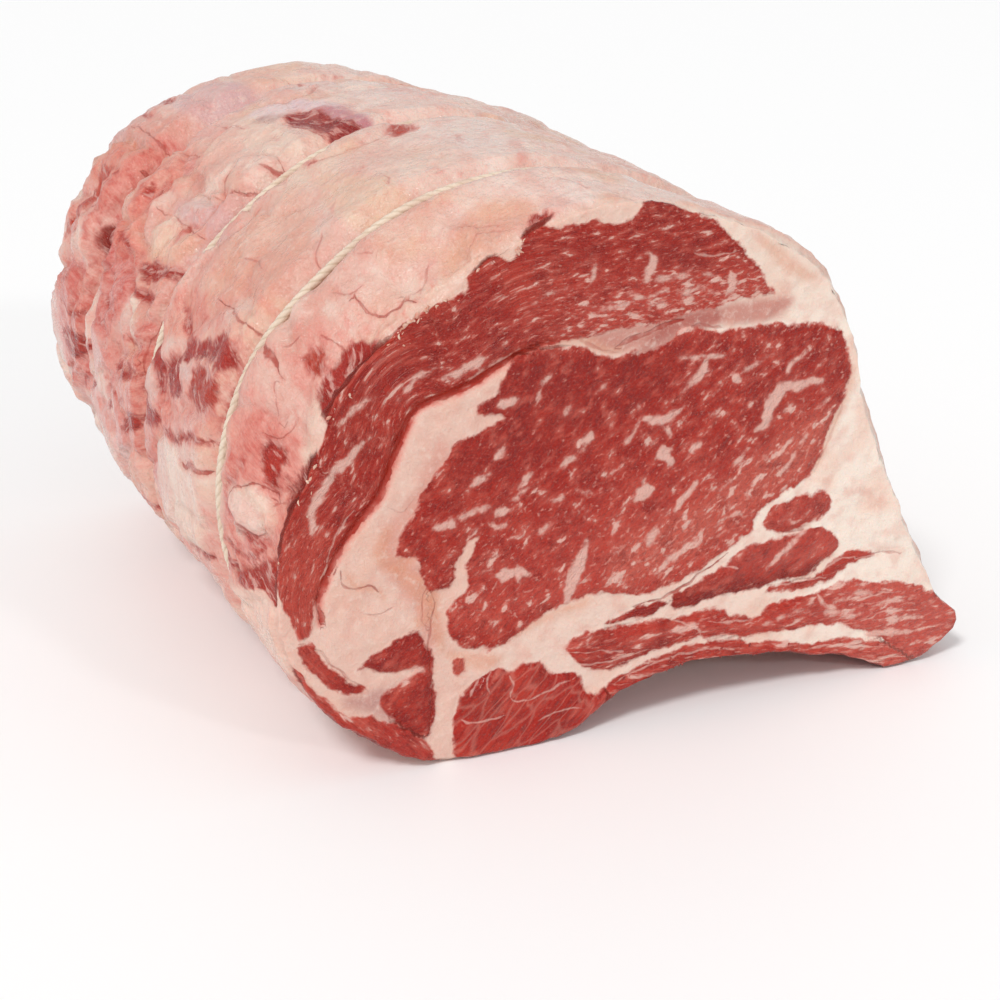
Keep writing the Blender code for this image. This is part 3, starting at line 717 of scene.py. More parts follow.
# Streaks of lean between the seams of fat, as lines with a width.
LEAN_STREAKS = (
    (((490, -30), (487, -46), (483, -58), (481, -67)), 3.0), (((463, 2), (463.6, 12),
    (464.6, 24), (463, 31)), 3.4), (((517, -24), (515.5, -48), (514, -64)), 5.0),
    (((492, -80), (494, -87), (498, -92), (497, -99)), 2.6), (((462, -69), (470, -69.5),
    (477, -68)), 2.4), (((477, 6), (477.5, 21)), 2.0), (((483, -1), (486, 12), (487, 30)), 4.0),
    (((494, 22), (496, 38)), 1.6), (((500, 29), (503.5, 39)), 2.6), (((405, -18.5),
    (406, -17)), 2.2), (((439, 53), (441, 50)), 3.0), (((436, 47), (440, 45)), 2.0),
    (((480, 70), (487, 71)), 3.0), (((488, 55), (490, 60)), 3.6), (((500, 55), (503, 60)), 3.4),
    (((414, 90), (417, 98)), 2.4), (((423, 88), (423.5, 99)), 1.4), (((483, 72), (486, 80),
    (484, 88)), 2.4), (((474, 82), (480, 88)), 2.0), (((502, 72), (509, 78)), 2.4),
    (((472, -4), (480, -7), (490, -5)), 2.6), (((458, -22), (463, -34), (456, -37)), 1.8),
    (((497, -18), (500, -34)), 1.6), (((478, -87), (484, -84), (489, -80)), 1.8),
    (((498, -99), (504, -90), (502, -80)), 2.2), (((476, -99), (486, -103)), 1.6),
    (((470, -10), (473, -24)), 1.4), (((493, 10), (498, 22)), 1.8), (((470, 34), (474, 44),
    (472, 54)), 2.0), (((456, 40), (454, 50)), 2.4), (((480, 40), (477, 50)), 1.6),
    (((528, 10), (533, 40), (530, 62)), 3.0), (((522, -10), (526, 18)), 3.0), (((536, -40),
    (541, -12), (538, 14)), 4.0), (((548, -96), (546, -70), (550, -44)), 3.6), (((532, -98),
    (529, -80)), 3.0), (((555, 20), (552, 58), (556, 88)), 4.0), (((566, -60), (568, -20),
    (563, 10)), 3.4), (((540, 66), (536, 92)), 3.4),
)
for line, width in LEAN_STREAKS:
    depth = np.maximum(depth, stroke(marked, line, width))
chine_side = ramp(528, 548, girth) + (1 - ramp(2, 8, girth))
depth = np.maximum(depth, -2.2 + 1.6 * chine_side + 1.5 * lumps(spots * (1, 0.4, 1), 11, 7))

# Underneath, the ribs were cut out: red meat between them, and a pale bed where each lay.
# The thin end is lean, and the flank above it is fat with a few thin layers of lean.
RIB_SPACING, RIB_BED = 66.0, 15.0
off_rib = (along + 43 + 4 * lumps(spots, 30, 70)) % RIB_SPACING - RIB_SPACING / 2
underneath = ramp(4, 16, girth) * (1 - ramp(146, 160, girth))
rib_bed = underneath * (1 - ramp(0.3 * RIB_BED, 0.6 * RIB_BED, np.abs(off_rib)))
meaty = np.clip(0.5 * (np.abs(off_rib) - 0.55 * RIB_BED), -REACH, 2.2) - 0.8
meaty += 1.8 * lumps(spots * (0.5, 1, 1), 12, 71) - REACH * (1 - underneath)
depth = np.maximum(depth, meaty)
thin_end = np.clip(0.5 * np.minimum(girth - 150, 186 - girth), -REACH, 2.5)
depth = np.maximum(depth, thin_end + 1.2 * lumps(spots * (1, 0.4, 1), 9, 72))
layered = lumps(np.insert(cover * (1, 0.1), 1, 30, axis=1), 9, 73) - 0.1 * np.abs(girth - 225)
depth = np.maximum(depth, np.clip(2.4 * layered - 0.6, -REACH, 1.5))
stain(cover_fat, 0.7 * rib_bed, "#DCC2BA")
depth -= 0.9 * np.abs(lumps(np.insert(cover * (0.8, 0.16), 1, 9, axis=1), 2.2, 44))

# Half lean, half fat: places where threads of both lie mixed, from faint to strong.
blood_and_crease_shade = np.zeros(len(spots))
MIXED = (
    (((455, 28), (452, 45), (450, 58), (462, 62), (480, 58), (485, 42), (480, 32), (466, 27)), 0.85),
    (((452, -18), (451, -36), (460, -40), (467, -30), (470, -18), (464, -12)), 0.7),
    (((452, -66), (453, -40), (466, -22), (482, -22), (486, -44), (482, -68), (466, -72)), 0.62),
    (((466, 2), (468, -30), (482, -42), (498, -34), (512, -14), (508, 4), (490, 10)), 0.8),
    (((480, 2), (480, 30), (490, 42), (508, 30), (508, 6), (494, -2)), 0.7),
    (((424, 42), (422, 56), (434, 59), (448, 56), (446, 43), (434, 41)), 0.75),
    (((464, -86), (476, -80), (492, -78), (512, -84), (516, -106), (490, -108), (470, -104)), 0.8),
    (((470, 72), (470, 90), (484, 94), (502, 90), (512, 78), (502, 68), (482, 68)), 0.85),
    (((422, 66), (424, 76), (446, 80), (468, 76), (474, 70), (450, 66)), 0.8),
    (((434, 80), (438, 92), (458, 98), (470, 94), (462, 82), (446, 78)), 0.7),
    (((436, -86), (438, -104), (456, -104), (456, -92), (448, -86)), 0.6),
    (((505, -60), (512, -20), (526, -20), (530, -60), (538, -100), (516, -106), (510, -84)), 0.6),
)
for outline, share in MIXED:
    blood_and_crease_shade = np.maximum(blood_and_crease_shade, share * ramp(-3, 3, depth_inside(marked, outline)))
blood_and_crease_shade = np.maximum(blood_and_crease_shade, 0.75 * ramp(-3.4, 0.5, depth))
blood_and_crease_shade = np.maximum(blood_and_crease_shade, (0.25 + 0.3 * shoulder) * ramp(-0.2, 0.5, lumps(spots * (1, 0.5, 1), 8, 18)))

# Thin skins over the lean and the fat: outline, colour, share.
SKINS = (
    (((382, -3), (382, 8), (384, 18), (389, 25), (390, 18), (388, 8), (387, 0), (386, -4)),
     "#B4707C", 0.9),
    (((383, 19), (385, 30), (390, 42), (400, 50), (404, 46), (398, 33), (391, 28)),
     "#DCC2C6", 0.9),
    (((397, 30), (402, 41), (405, 38), (401, 31)), "#8E4C52", 0.8),
    (((431, -4), (431.5, 15), (434, 31), (440, 30), (440.5, 14), (440, -3)), "#D6AFAC", 0.8),
    (((393, 60), (394, 74), (400, 88), (414, 90), (416, 78), (408, 66), (404, 58)),
     "#CCA3A2", 0.7),
    (((402, 0), (403, 30), (410, 36), (412, 14), (409, 2)), "#E0C4B2", 0.8),
    (((441.5, 0), (442, 28), (450, 30), (451, 14), (449, 2)), "#E2C0AC", 0.8),
    (((492, -28), (492, -50), (497, -62), (510, -62), (516, -50), (518, -34), (508, -26)),
     "#E4C4B4", 1.0),
    (((485, -86), (484.5, -92), (487, -97), (491, -101), (495, -98), (496, -91), (499, -88),
      (495, -86.5), (492, -84), (489, -83)), "#E2C2B2", 1.0),
    (((398, -72), (402, -42), (408, -30), (414, -52), (412, -72)), "#DDB796", 0.5),
    (((414, -24), (418, -48), (430, -62), (446, -58), (444, -34), (430, -20)), "#D6A08A", 0.4),
    (((392, -106), (396, -102), (440, -99), (470, -101), (468, -106)), "#E0BFAC", 0.7),
    (((378, -92), (380, -103), (396, -104), (400, -97), (390, -89)), "#D6957A", 0.6),
    (((476, -8), (478, -20), (483, -26), (484, -14), (481, -5)), "#D8B4AE", 1.0),
    (((469, -38), (470, -48), (473, -44), (472, -38)), "#D2A6A2", 1.0),
    (((468, -22), (464, -34), (470, -26), (474, -20)), "#DDB9B2", 0.8),
    (((467, 14), (467, 27), (472, 27), (473, 14), (470, 8)), "#E2C2AE", 0.9),
    (((436, 60), (436, 66), (440, 66), (440, 60)), "#E4D4D2", 0.9),
    (((515, -107), (512, -94), (516, -78), (524, -72), (531, -84), (531, -107)), "#EACDBE", 1.0),
)
for outline, colour, share in SKINS:
    inside = ramp(-2.0, 1.6, depth_inside(marked, outline))
    stain(cover_fat, share * inside, colour)
    blood_and_crease_shade *= 1 - 0.85 * share * inside
    depth = np.where((inside > 0.5) & (share > 0.95), -1.5, depth)

# Cracks and slits: a line, its width, how deep it is, and how dark its painted shade and blood are.
CRACKS = (
    (((450, -40), (450, -58), (450.5, -70), (452, -82), (454.5, -90)), 0.8, 0.7, 0.85),
    (((450.5, -78), (452, -82), (453.5, -88)), 2.0, 1.0, 0.9), (((420, -60), (425, -65),
    (427, -68)), 0.9, 0.6, 0.6), (((399, -54), (399.6, -61)), 0.6, 0.4, 0.5), (((437, -37),
    (436.4, -44), (437, -52)), 0.7, 0.4, 0.6), (((370, -36), (371.6, -41), (372, -47)), 1.8, 0.7,
    0.35), (((492.6, -48), (491, -56), (489.8, -62), (489.6, -68)), 2.4, 1.6, 0.95),
    (((427.6, -89), (428, -96), (422, -100.5), (418.5, -101), (417, -106)), 0.9, 0.8, 0.85),
    (((424.5, -89), (428, -88), (431, -84)), 0.5, 0.5, 0.6), (((440.5, -2), (441, 14),
    (440.6, 31)), 0.7, 0.6, 0.7), (((441, 33), (441.4, 38)), 0.9, 0.6, 0.7), (((412, -4),
    (414.5, -2), (415, 2)), 1.2, 0.9, 0.8), (((421, -5), (423, -1), (424.5, 2)), 1.6, 1.0, 0.8),
    (((417, 17.5), (412.5, 11), (410.5, 4), (411, -1)), 0.6, 0.8, 0.45), (((417.5, 17.5),
    (423, 14), (427.5, 8), (429.5, 1)), 0.8, 0.8, 0.6), (((383, -19), (390, -23.5),
    (400, -22.5), (405, -18)), 1.2, 1.0, 0.35), (((424, -20), (433, -21), (441, -19)), 1.4, 0.8,
    0.35), (((380, 49), (387, 42.5), (396, 47)), 1.2, 1.0, 0.35), (((383, 52), (384, 60)), 1.4,
    0.7, 0.6), (((436, 68), (436.6, 73)), 2.0, 1.0, 0.9), (((456, 62), (457, 71)), 2.8, 1.4,
    0.95), (((463, 62), (462, 70)), 2.2, 1.1, 0.85), (((513.5, -56), (514.5, -64)), 2.0, 1.0,
    0.7), (((384, -104), (392, -98), (400, -101)), 0.7, 0.6, 0.35), (((396, -90), (391, -96),
    (386, -99)), 0.7, 0.7, 0.4), (((443, -86), (449, -85)), 0.5, 0.4, 0.6), (((456, -88),
    (466, -92)), 0.6, 0.4, 0.45), (((360, -96), (366, -84)), 0.6, 0.4, 0.3), (((344, -50),
    (348, -38)), 0.8, 0.4, 0.3), (((329, -90), (333, -80)), 0.8, 0.3, 0.3), (((352, 20),
    (356, 40)), 0.8, 0.4, 0.3), (((440, -90), (441, -99), (447, -103)), 0.7, 0.5, 0.6),
    (((461, -97), (468, -95), (470, -89)), 0.6, 0.5, 0.6), (((484, -99), (483, -92), (486, -86),
    (491, -84)), 1.0, 0.9, 0.8), (((490, -84), (494, -87), (497, -94), (493, -99)), 1.0, 0.9, 0.85),
    (((484, -103), (487, -97)), 0.9, 0.6, 0.5), (((416, -84), (420, -80)), 0.6, 0.4, 0.4),
    (((407, -96), (412, -99), (418, -99.5)), 0.7, 0.5, 0.5), (((426, 60), (427, 78), (429, 92)),
    1.0, 0.7, 0.75), (((440, 78), (448, 79), (458, 82), (468, 88)), 0.8, 0.6, 0.7), (((424, 2),
    (430, 10), (431, 24)), 0.7, 0.5, 0.5), (((465, -4), (474, -1), (484, -3), (494, -8)), 0.9, 0.6,
    0.6), (((408, 36), (409.5, 46), (412, 54)), 0.8, 0.5, 0.5), (((422, 44), (424, 52), (428, 60)),
    0.8, 0.6, 0.6), (((452, 42), (453.5, 52)), 0.7, 0.5, 0.6), (((476, 20), (479, 12), (481, 0)),
    0.8, 0.5, 0.5), (((497, 24), (503, 14), (505, 4)), 0.7, 0.5, 0.5), (((481, -68), (484, -56),
    (488, -44)), 0.7, 0.5, 0.6), (((379, 70), (383, 78)), 1.0, 0.6, 0.4), (((396, -2),
    (397.5, 14), (399, 28)), 0.8, 0.7, 0.7), (((456, -72), (470, -71.5), (484, -69)), 1.2, 0.6,
    0.8), (((402, -76.5), (414, -76.8), (428, -76)), 0.7, 0.4, 0.5), (((212, -62), (220, -40),
    (216, -16)), 0.8, 0.8, 0.6), (((236, 6), (244, 28), (240, 56)), 0.8, 0.8, 0.55), (((262, -54),
    (258, -34), (266, -14)), 0.7, 0.6, 0.5), (((284, 10), (292, 34), (288, 60)), 0.7, 0.6, 0.45),
    (((206, 76), (214, 90)), 0.8, 0.7, 0.6), (((300, -60), (310, -44)), 0.7, 0.5, 0.4), (((224, -58),
    (240, -54), (250, -40)), 0.6, 0.5, 0.45), (((250, 18), (262, 30), (268, 50)), 0.6, 0.5, 0.45),
)


hairlines = [(line, 0.62 * width, 0.8 * dark) for line, width, _, dark in CRACKS]
crease_side[outside], crease_half[outside], crease_dark[outside] = crease_beside(
    marked, hairlines, 2.3)


def lobes(places, size, seed):
    """For lobes of about this size: the way in from the nearest edge, and each one's number."""
    found = [noise.voronoi(spot) for spot in (places / size + seed * 3.7).tolist()]
    inward = np.array([away[1] - away[0] for away, _ in found]) * size
    number = np.array([centres[0] for _, centres in found]) @ (12.9898, 78.233, 37.719) % 1
    return inward, number


# Lobes of fat under a thin skin, each a little different in colour, with blood and painted
# shade in the creases where they meet, and a wash of red round the lean.
warped = spots + 6 * np.stack([lumps(spots, 15, seed) for seed in (30, 31, 32)], -1)
shouldered = ramp(395, 440, girth) * (1 - 0.6 * ramp(530, 560, girth))
lobed = (0.35 + 0.65 * shouldered) * (0.5 + 0.5 * ramp(-40, 20, along))
big_in, big_number = lobes(warped * (1, 0.8, 1), 25, 1)
small_in, small_number = lobes(warped, 9, 2)
cover_relief = 1.3 * lumps(spots, 30, 16) - 1.6 * lobed
cover_relief += lobed * (3.0 * ramp(-1, 6, big_in) + 0.8 * ramp(-0.5, 2.4, small_in))
cover_relief += 0.22 * lumps(spots, 3.2, 10) * (0.5 + shouldered) - 1.2 * rib_bed
cover_relief += (0.6 * lumps(spots * (1, 0.7, 1), 13, 74) - 0.2) * on_the_flank
cover_relief -= 0.5 * ramp(-1.5, 1.5, depth)
stain(cover_fat, 0.45 * lobed * (big_number > 0.78), "#D98F76")
stain(cover_fat, 0.6 * lobed * (big_number < 0.35), "#E6CABC")
stain(cover_fat, 0.5 * lobed * (np.abs(big_number - 0.5) < 0.12), "#CFA3A4")
stain(cover_fat, 0.3 * lobed * (small_number > 0.6), "#CF8470")
stain(cover_fat, 0.3 * lobed * (small_number < 0.3), "#E6CEBF")
bloody = ramp(-0.3, 0.5, lumps(spots, 18, 17)) * (1 - edge_low)
# Blood and painted shade in the creases between the lobes.
blood_and_crease_shade = np.maximum(blood_and_crease_shade, 0.95 * lobed * bloody * (1 - ramp(0.2, 2.6, big_in)))
blood_and_crease_shade = np.maximum(blood_and_crease_shade, 0.6 * lobed * bloody * (1 - ramp(0.0, 1.2, small_in)))
# Each crack sinks, with a halo of blood and painted shade round it.
for line, width, sunk, dark in CRACKS:
    inside = stroke(marked, line, width)
    blood_and_crease_shade = np.maximum(blood_and_crease_shade, (0.15 + 0.5 * dark) * ramp(-1.8, 0.2, inside))
    cover_relief += 0.2 * ramp(-2.8, -0.9, inside) - (0.3 * sunk + 0.1) * ramp(-0.9, 0.4, inside)
# Lips, flaps and lobes that stand up: outline, height.
RAISED = (
    (((412, -3), (411, 5), (413.5, 12), (417.5, 16.5), (422, 13), (426.5, 7), (428, 0),
      (424, -3)), 1.2),
    (((492.5, -28), (493, -50), (496, -62), (510, -62), (515, -50), (517, -34), (508, -27)), 1.5),
    (((485, -86), (484.5, -92), (487, -97), (491, -101), (495, -98), (496, -91), (499, -88),
      (495, -86.5), (492, -84), (489, -83)), 1.8),
    (((391, -100), (394, -92), (398, -89.5), (400, -92), (399, -101), (395, -103.5)), 1.5),
    (((376, -2), (380, -14), (386, -20), (396, -22), (404, -17), (396, -13), (386, -10)), 0.9),
    (((380, 52), (382, 46), (388, 44), (396, 49), (394, 54)), 0.9),
    (((401, 0), (402, 30), (408, 34), (411, 14), (409, 2)), 0.8),
    (((442, 0), (442.5, 28), (450, 30), (450.5, 14), (448.5, 2)), 0.8),
    (((396, -106), (398, -102), (412, -101), (432, -101.5), (436, -106)), 0.6),
    (((427, 62), (429, 92), (438, 90), (440, 78), (436, 64)), 0.8),
    (((442, 72), (448, 78), (468, 84), (470, 76), (456, 72)), 0.8),
    (((430, -86), (431, -98), (441, -98), (441, -88)), 0.5),
)
for outline, height in RAISED:
    cover_relief += height * ramp(-0.5, 1.4, depth_inside(marked, outline))
torn = 1 - ramp(FRONT + 2, FRONT + 8, along + 1.8 * lumps(spots, 4, 11))
torn *= ramp(380, 400, girth) * (1 - ramp(500, 520, girth))
cover_relief += torn * (0.5 * lumps(spots, 3.4, 12) + 0.45 * lumps(spots, 1.8, 19))
stain(cover_fat, 0.5 * torn * ramp(-0.2, 0.4, lumps(spots, 2.6, 13)), "#E2C2B2")
blood_and_crease_shade = np.maximum(blood_and_crease_shade, 0.7 * torn * ramp(0.1, 0.5, lumps(spots, 3, 45)))
quiet, bed = np.ones(len(spots)), np.zeros(len(spots))
for _, place, _, _ in TIES:
    quiet *= 0.04 + 0.96 * ramp(1.8, 7.5, np.abs(along - place))
    bed = np.maximum(bed, 1 - ramp(1.4, 3.8, np.abs(along - place)))
    # Beside each tie the fat gets a brown stain that is painted shade, and patches of blood.
    under = 1 - ramp(0.6, 2.6, np.abs(along - place))
    stain(cover_fat, 0.4 * under, "#B27A66")
    blood_and_crease_shade = np.maximum(blood_and_crease_shade, 0.62 * under * ramp(-0.3, 0.3, lumps(spots, 8, 46)))
lean[outside], softness[outside], bloodied_and_shaded[outside] = depth, 1.3, blood_and_crease_shade
fat_colour[outside], lean_colour[outside], marbled[outside] = cover_fat, cover_lean, cover_marbled
relief[outside] = cover_relief * quiet - 0.5 * bed
# The skins' fibres slant round the girth in front of the middle tie, and back behind it.
swirled = cover + 2.2 * np.stack([lumps(spots, 14, 48), lumps(spots, 14, 49)], -1)
slant = np.radians(np.where(along < -6.5, -36, np.where(along < 68, 22, -15)))
lengthways = swirled[:, 1] * np.cos(slant) + swirled[:, 0] * np.sin(slant)
crossways = swirled[:, 0] * np.cos(slant) - swirled[:, 1] * np.sin(slant)
grain[outside] = np.stack([lengthways / 3, crossways, 0 * girth + 500], -1) / 1.1

# ---------------------------------------------------------------------------------------
# The back cut shows the same muscles from behind, at the blade end of the three ribs.

back_cut = ~(front_cut | outside)
back_cut |= points[:, 1] > BACK - 0.01
shrunk = (points[back_cut][:, [0, 2]] - (0, 66)) * (1.06, 1.07) + (1, 66)
cut_muscles(back_cut, shrunk + 1.5 * np.stack([lumps(points[back_cut], 14, 14),
                                               lumps(points[back_cut], 14, 15)], -1), 50)
crease_dark[back_cut] *= 0.6

# ---------------------------------------------------------------------------------------
# The whole roast as one skin, with its colours and fibres kept on the mesh.

faces_all = np.concatenate([quads[:, [0, 1, 2]], quads[:, [0, 2, 3]], triangles])
corners = points[faces_all]
facing = np.cross(corners[:, 1] - corners[:, 0], corners[:, 2] - corners[:, 0])
normals = np.zeros((count, 3))
for corner in range(3):
    np.add.at(normals, faces_all[:, corner], facing)
normals /= np.linalg.norm(normals, axis=1, keepdims=True)
points = points + normals * relief[:, None]
points = np.clip(points, roast_low, roast_high)


def add_piece(name, points, faces, material):
    mesh = bpy.data.meshes.new(name)
    mesh.from_pydata(points * MM, [], faces)
    mesh.materials.append(material)
    mesh.shade_smooth()
    piece = bpy.data.objects.new(name, mesh)
    bpy.context.scene.collection.objects.link(piece)
    return piece


def add_node(tree, kind, inputs, **settings):
    """Adds a node, with its settings and its inputs: each a value, or a socket to link."""
    node = tree.nodes.new(kind)
    for key, value in settings.items():
        setattr(node, key, value)
    for key, value in inputs.items():
        if isinstance(value, bpy.types.NodeSocket):
            tree.links.new(value, node.inputs[key])
        else:
            node.inputs[key].default_value = value
    return node


# Raw beef: wet lean, dark red between pale threads of marbling, and hard white fat. Light
# goes a little way into both, and the cut is damp, so it glints wherever it is uneven.
raw_beef = bpy.data.materials.new("Raw beef, lean and fat")
raw_beef.use_nodes = True
beef = raw_beef.node_tree
position = add_node(beef, "ShaderNodeTexCoord", {}).outputs["Object"]
kept = {}
for name in ("lean", "softness", "fleck", "marbled", "bloodied_and_shaded", "crease_side", "crease_half",
             "crease_dark", "film_side", "film_half"):
    kept[name] = add_node(beef, "ShaderNodeAttribute", {}, attribute_name=name).outputs["Fac"]
for name in ("fat_colour", "lean_colour"):
    kept[name] = add_node(beef, "ShaderNodeAttribute", {}, attribute_name=name).outputs["Color"]
fibres = add_node(beef, "ShaderNodeAttribute", {}, attribute_name="grain").outputs["Vector"]
PER_MM = 1000  # scales on Object coordinates are per metre
# Each pattern: what it lies on, its scale, its detail and how much it swirls. Grit is
# 2.5 mm lumps, clouds are 6 mm, pores are under 1 mm and drawn as coarse as they show;
# flecks, threads and streaks follow the fibres.
pattern = {}
for name, lies_on, scale, detail, swirl in (
    ("grit", position, 0.4 * PER_MM, 4, 0.0),
    ("clouds", position, 0.17 * PER_MM, 5, 0.0),
    ("pores", position, 1.3 * PER_MM, 2, 0.0),
    ("wrinkles", position, 0.11 * PER_MM, 4, 1.2),
    ("flecks", fibres, 0.6, 5, 0.25),
    ("threads", fibres, 2.9, 2, 0.0),
    ("streaks", fibres, 0.6, 3, 0.0),
    ("specks", fibres, 1.5, 3, 0.3),
):
    pattern[name] = add_node(beef, "ShaderNodeTexNoise", {
        "Vector": lies_on, "Scale": scale, "Detail": detail, "Roughness": 0.55, "Distortion": swirl,
    }).outputs["Fac"]

swirls = add_node(beef, "ShaderNodeTexNoise", {
    "Vector": fibres, "Scale": 0.35, "Detail": 2,
}).outputs["Color"]

# Edges between lean and fat waver by about half a millimetre, and fray along the fibres
# where the change is gradual.
off_grit = add_node(beef, "ShaderNodeMath", {0: pattern["grit"], 1: 0.5}, operation="SUBTRACT")
waver = add_node(beef, "ShaderNodeMath", {0: off_grit.outputs[0], 1: 2.6}, operation="MULTIPLY")
waver = waver.outputs[0]
off_thread = add_node(beef, "ShaderNodeMath", {0: pattern["streaks"], 1: 0.5},
                      operation="SUBTRACT").outputs[0]
fray = add_node(beef, "ShaderNodeMath", {0: off_thread, 1: kept["softness"]},
                operation="MULTIPLY").outputs[0]
fray = add_node(beef, "ShaderNodeMath", {0: fray, 1: 3.6, 2: waver},
                operation="MULTIPLY_ADD").outputs[0]
inwards = add_node(beef, "ShaderNodeMath", {0: kept["lean"], 1: fray}, operation="ADD").outputs[0]
outwards = add_node(beef, "ShaderNodeMath", {0: kept["softness"], 1: -1.0},
                    operation="MULTIPLY").outputs[0]
is_lean = add_node(beef, "ShaderNodeMapRange", {
    "Value": inwards, "From Min": outwards, "From Max": kept["softness"],
}, interpolation_type="SMOOTHSTEP").outputs["Result"]

# Bundles of fibres, each with a paler border.
jogged = add_node(beef, "ShaderNodeVectorMath", {
    0: swirls, 1: (2.6, 2.6, 0), 2: fibres,
}, operation="MULTIPLY_ADD").outputs[0]
bundles = add_node(beef, "ShaderNodeTexVoronoi", {"Vector": jogged, "Scale": 0.62},
                   feature="DISTANCE_TO_EDGE").outputs["Distance"]
plain = add_node(beef, "ShaderNodeMath", {0: kept["marbled"], 1: -3.0, 2: 1.05},
                 operation="MULTIPLY_ADD", use_clamp=True).outputs[0]
bordered = add_node(beef, "ShaderNodeMapRange", {
    "Value": bundles, "From Min": 0.12, "From Max": 0.0, "To Max": plain,
}, interpolation_type="SMOOTHSTEP").outputs["Result"]

# Marbling: ragged flecks 5 mm apart in the eye, and thin streaks along the cap's fibres,
# each with a pink border where the fat thins out into the lean.
threshold = add_node(beef, "ShaderNodeMath", {0: kept["marbled"], 1: -0.15, 2: 0.70},
                     operation="MULTIPLY_ADD").outputs[0]
over = add_node(beef, "ShaderNodeMath", {0: pattern["flecks"], 1: threshold},
                operation="SUBTRACT").outputs[0]
edge = add_node(beef, "ShaderNodeMath", {0: kept["fleck"], 1: fray}, operation="ADD").outputs[0]
speckled = add_node(beef, "ShaderNodeMath", {0: pattern["specks"], 1: threshold},
                    operation="SUBTRACT").outputs[0]
marbling = {}
for name, noise_low, noise_high, edge_low, edge_high in (
    ("white", 0.0, 0.14, -0.6, 1.1), ("pink", -0.16, 0.05, -2.2, 0.7),
):
    finely = add_node(beef, "ShaderNodeMapRange", {
        "Value": over, "From Min": noise_low, "From Max": noise_high,
    }, interpolation_type="SMOOTHSTEP").outputs["Result"]
    boldly = add_node(beef, "ShaderNodeMapRange", {
        "Value": edge, "From Min": edge_low, "From Max": edge_high,
    }, interpolation_type="SMOOTHSTEP").outputs["Result"]
    marbling[name] = add_node(beef, "ShaderNodeMath", {0: finely, 1: boldly},
                              operation="MAXIMUM").outputs[0]

# Membranes and creases are thin lines: half their width, less the way to their middle.
drawn = {}
for name, side, half, sharp in (
    ("crease", kept["crease_side"], kept["crease_half"], 0.22),
    ("film", kept["film_side"], kept["film_half"], 0.3),
):
    away = add_node(beef, "ShaderNodeMath", {0: side}, operation="ABSOLUTE").outputs[0]
    over_edge = add_node(beef, "ShaderNodeMath", {0: half, 1: away}, operation="SUBTRACT").outputs[0]
    over_edge = add_node(beef, "ShaderNodeMath", {0: off_grit.outputs[0], 1: 1.2, 2: over_edge},
                         operation="MULTIPLY_ADD").outputs[0]
    drawn[name] = add_node(beef, "ShaderNodeMapRange", {
        "Value": over_edge, "From Min": -sharp, "From Max": sharp,
    }, interpolation_type="SMOOTHSTEP").outputs["Result"]
# Creases are darkened to a deep blood red, which is painted shade and blood, broken up by the clouds.
drawn["crease"] = add_node(beef, "ShaderNodeMath", {0: drawn["crease"], 1: kept["crease_dark"]},
                           operation="MULTIPLY").outputs[0]
broken = add_node(beef, "ShaderNodeMapRange", {
    "Value": pattern["clouds"], "From Min": 0.36, "From Max": 0.56, "To Min": 0.35,
}).outputs["Result"]
crease_blood_and_shade = add_node(beef, "ShaderNodeMath", {0: drawn["crease"], 1: broken},
                   operation="MULTIPLY").outputs[0]
# Wrinkles: hair lines where a swirling noise crosses its middle.
off_middle = add_node(beef, "ShaderNodeMath", {0: pattern["wrinkles"], 1: 0.5},
                      operation="SUBTRACT").outputs[0]
off_middle = add_node(beef, "ShaderNodeMath", {0: off_middle}, operation="ABSOLUTE").outputs[0]
gradual = add_node(beef, "ShaderNodeMapRange", {
    "Value": kept["softness"], "From Min": 0.8, "From Max": 1.2,
}).outputs["Result"]
drawn["wrinkle"] = add_node(beef, "ShaderNodeMapRange", {
    "Value": off_middle, "From Min": 0.012, "From Max": 0.002, "To Max": gradual,
}, interpolation_type="SMOOTHSTEP").outputs["Result"]

# Blood in the fat, and painted shade in the cover's creases and cracks: a pink wash, then
# red, each ragged at its edge and streaked along the fibres.
blood_and_shade_wash = add_node(beef, "ShaderNodeMath", {0: off_grit.outputs[0], 1: 0.8, 2: kept["bloodied_and_shaded"]},
                  operation="MULTIPLY_ADD").outputs[0]
off_fine = add_node(beef, "ShaderNodeMath", {0: pattern["threads"], 1: 0.5},
                    operation="SUBTRACT").outputs[0]
blood_and_shade_wash = add_node(beef, "ShaderNodeMath", {0: off_fine, 1: 0.4, 2: blood_and_shade_wash},
                  operation="MULTIPLY_ADD").outputs[0]
blood_and_shade_wash = add_node(beef, "ShaderNodeMath", {0: off_thread, 1: 0.8, 2: blood_and_shade_wash},
                  operation="MULTIPLY_ADD").outputs[0]

# Each layer: how much of it there is, what it changes, between which amounts, how far, and
# to which colour.
fat, red = kept["fat_colour"], kept["lean_colour"]
for amount, low, high, most, code in (
    (pattern["clouds"], 0.5, 0.7, 0.3, "#D3998A"),
    (pattern["grit"], 0.5, 0.75, 0.4, "#EBD8CB"),
    (pattern["pores"], 0.52, 0.72, 0.14, "#F0DFD4"),
    (blood_and_shade_wash, 0.1, 0.75, 0.55, "#D98478"),
    (blood_and_shade_wash, 0.55, 1.2, 0.8, "#BA3C30"),
    (drawn["wrinkle"], 0.0, 1.0, 0.25, "#C88874"),
):
    share = add_node(beef, "ShaderNodeMapRange", {
        "Value": amount, "From Min": low, "From Max": high, "To Max": most,
    }, interpolation_type="SMOOTHSTEP").outputs["Result"]
    fat = add_node(beef, "ShaderNodeMix", {0: share, 6: fat, 7: hex_colour(code)},
                   data_type="RGBA").outputs[2]
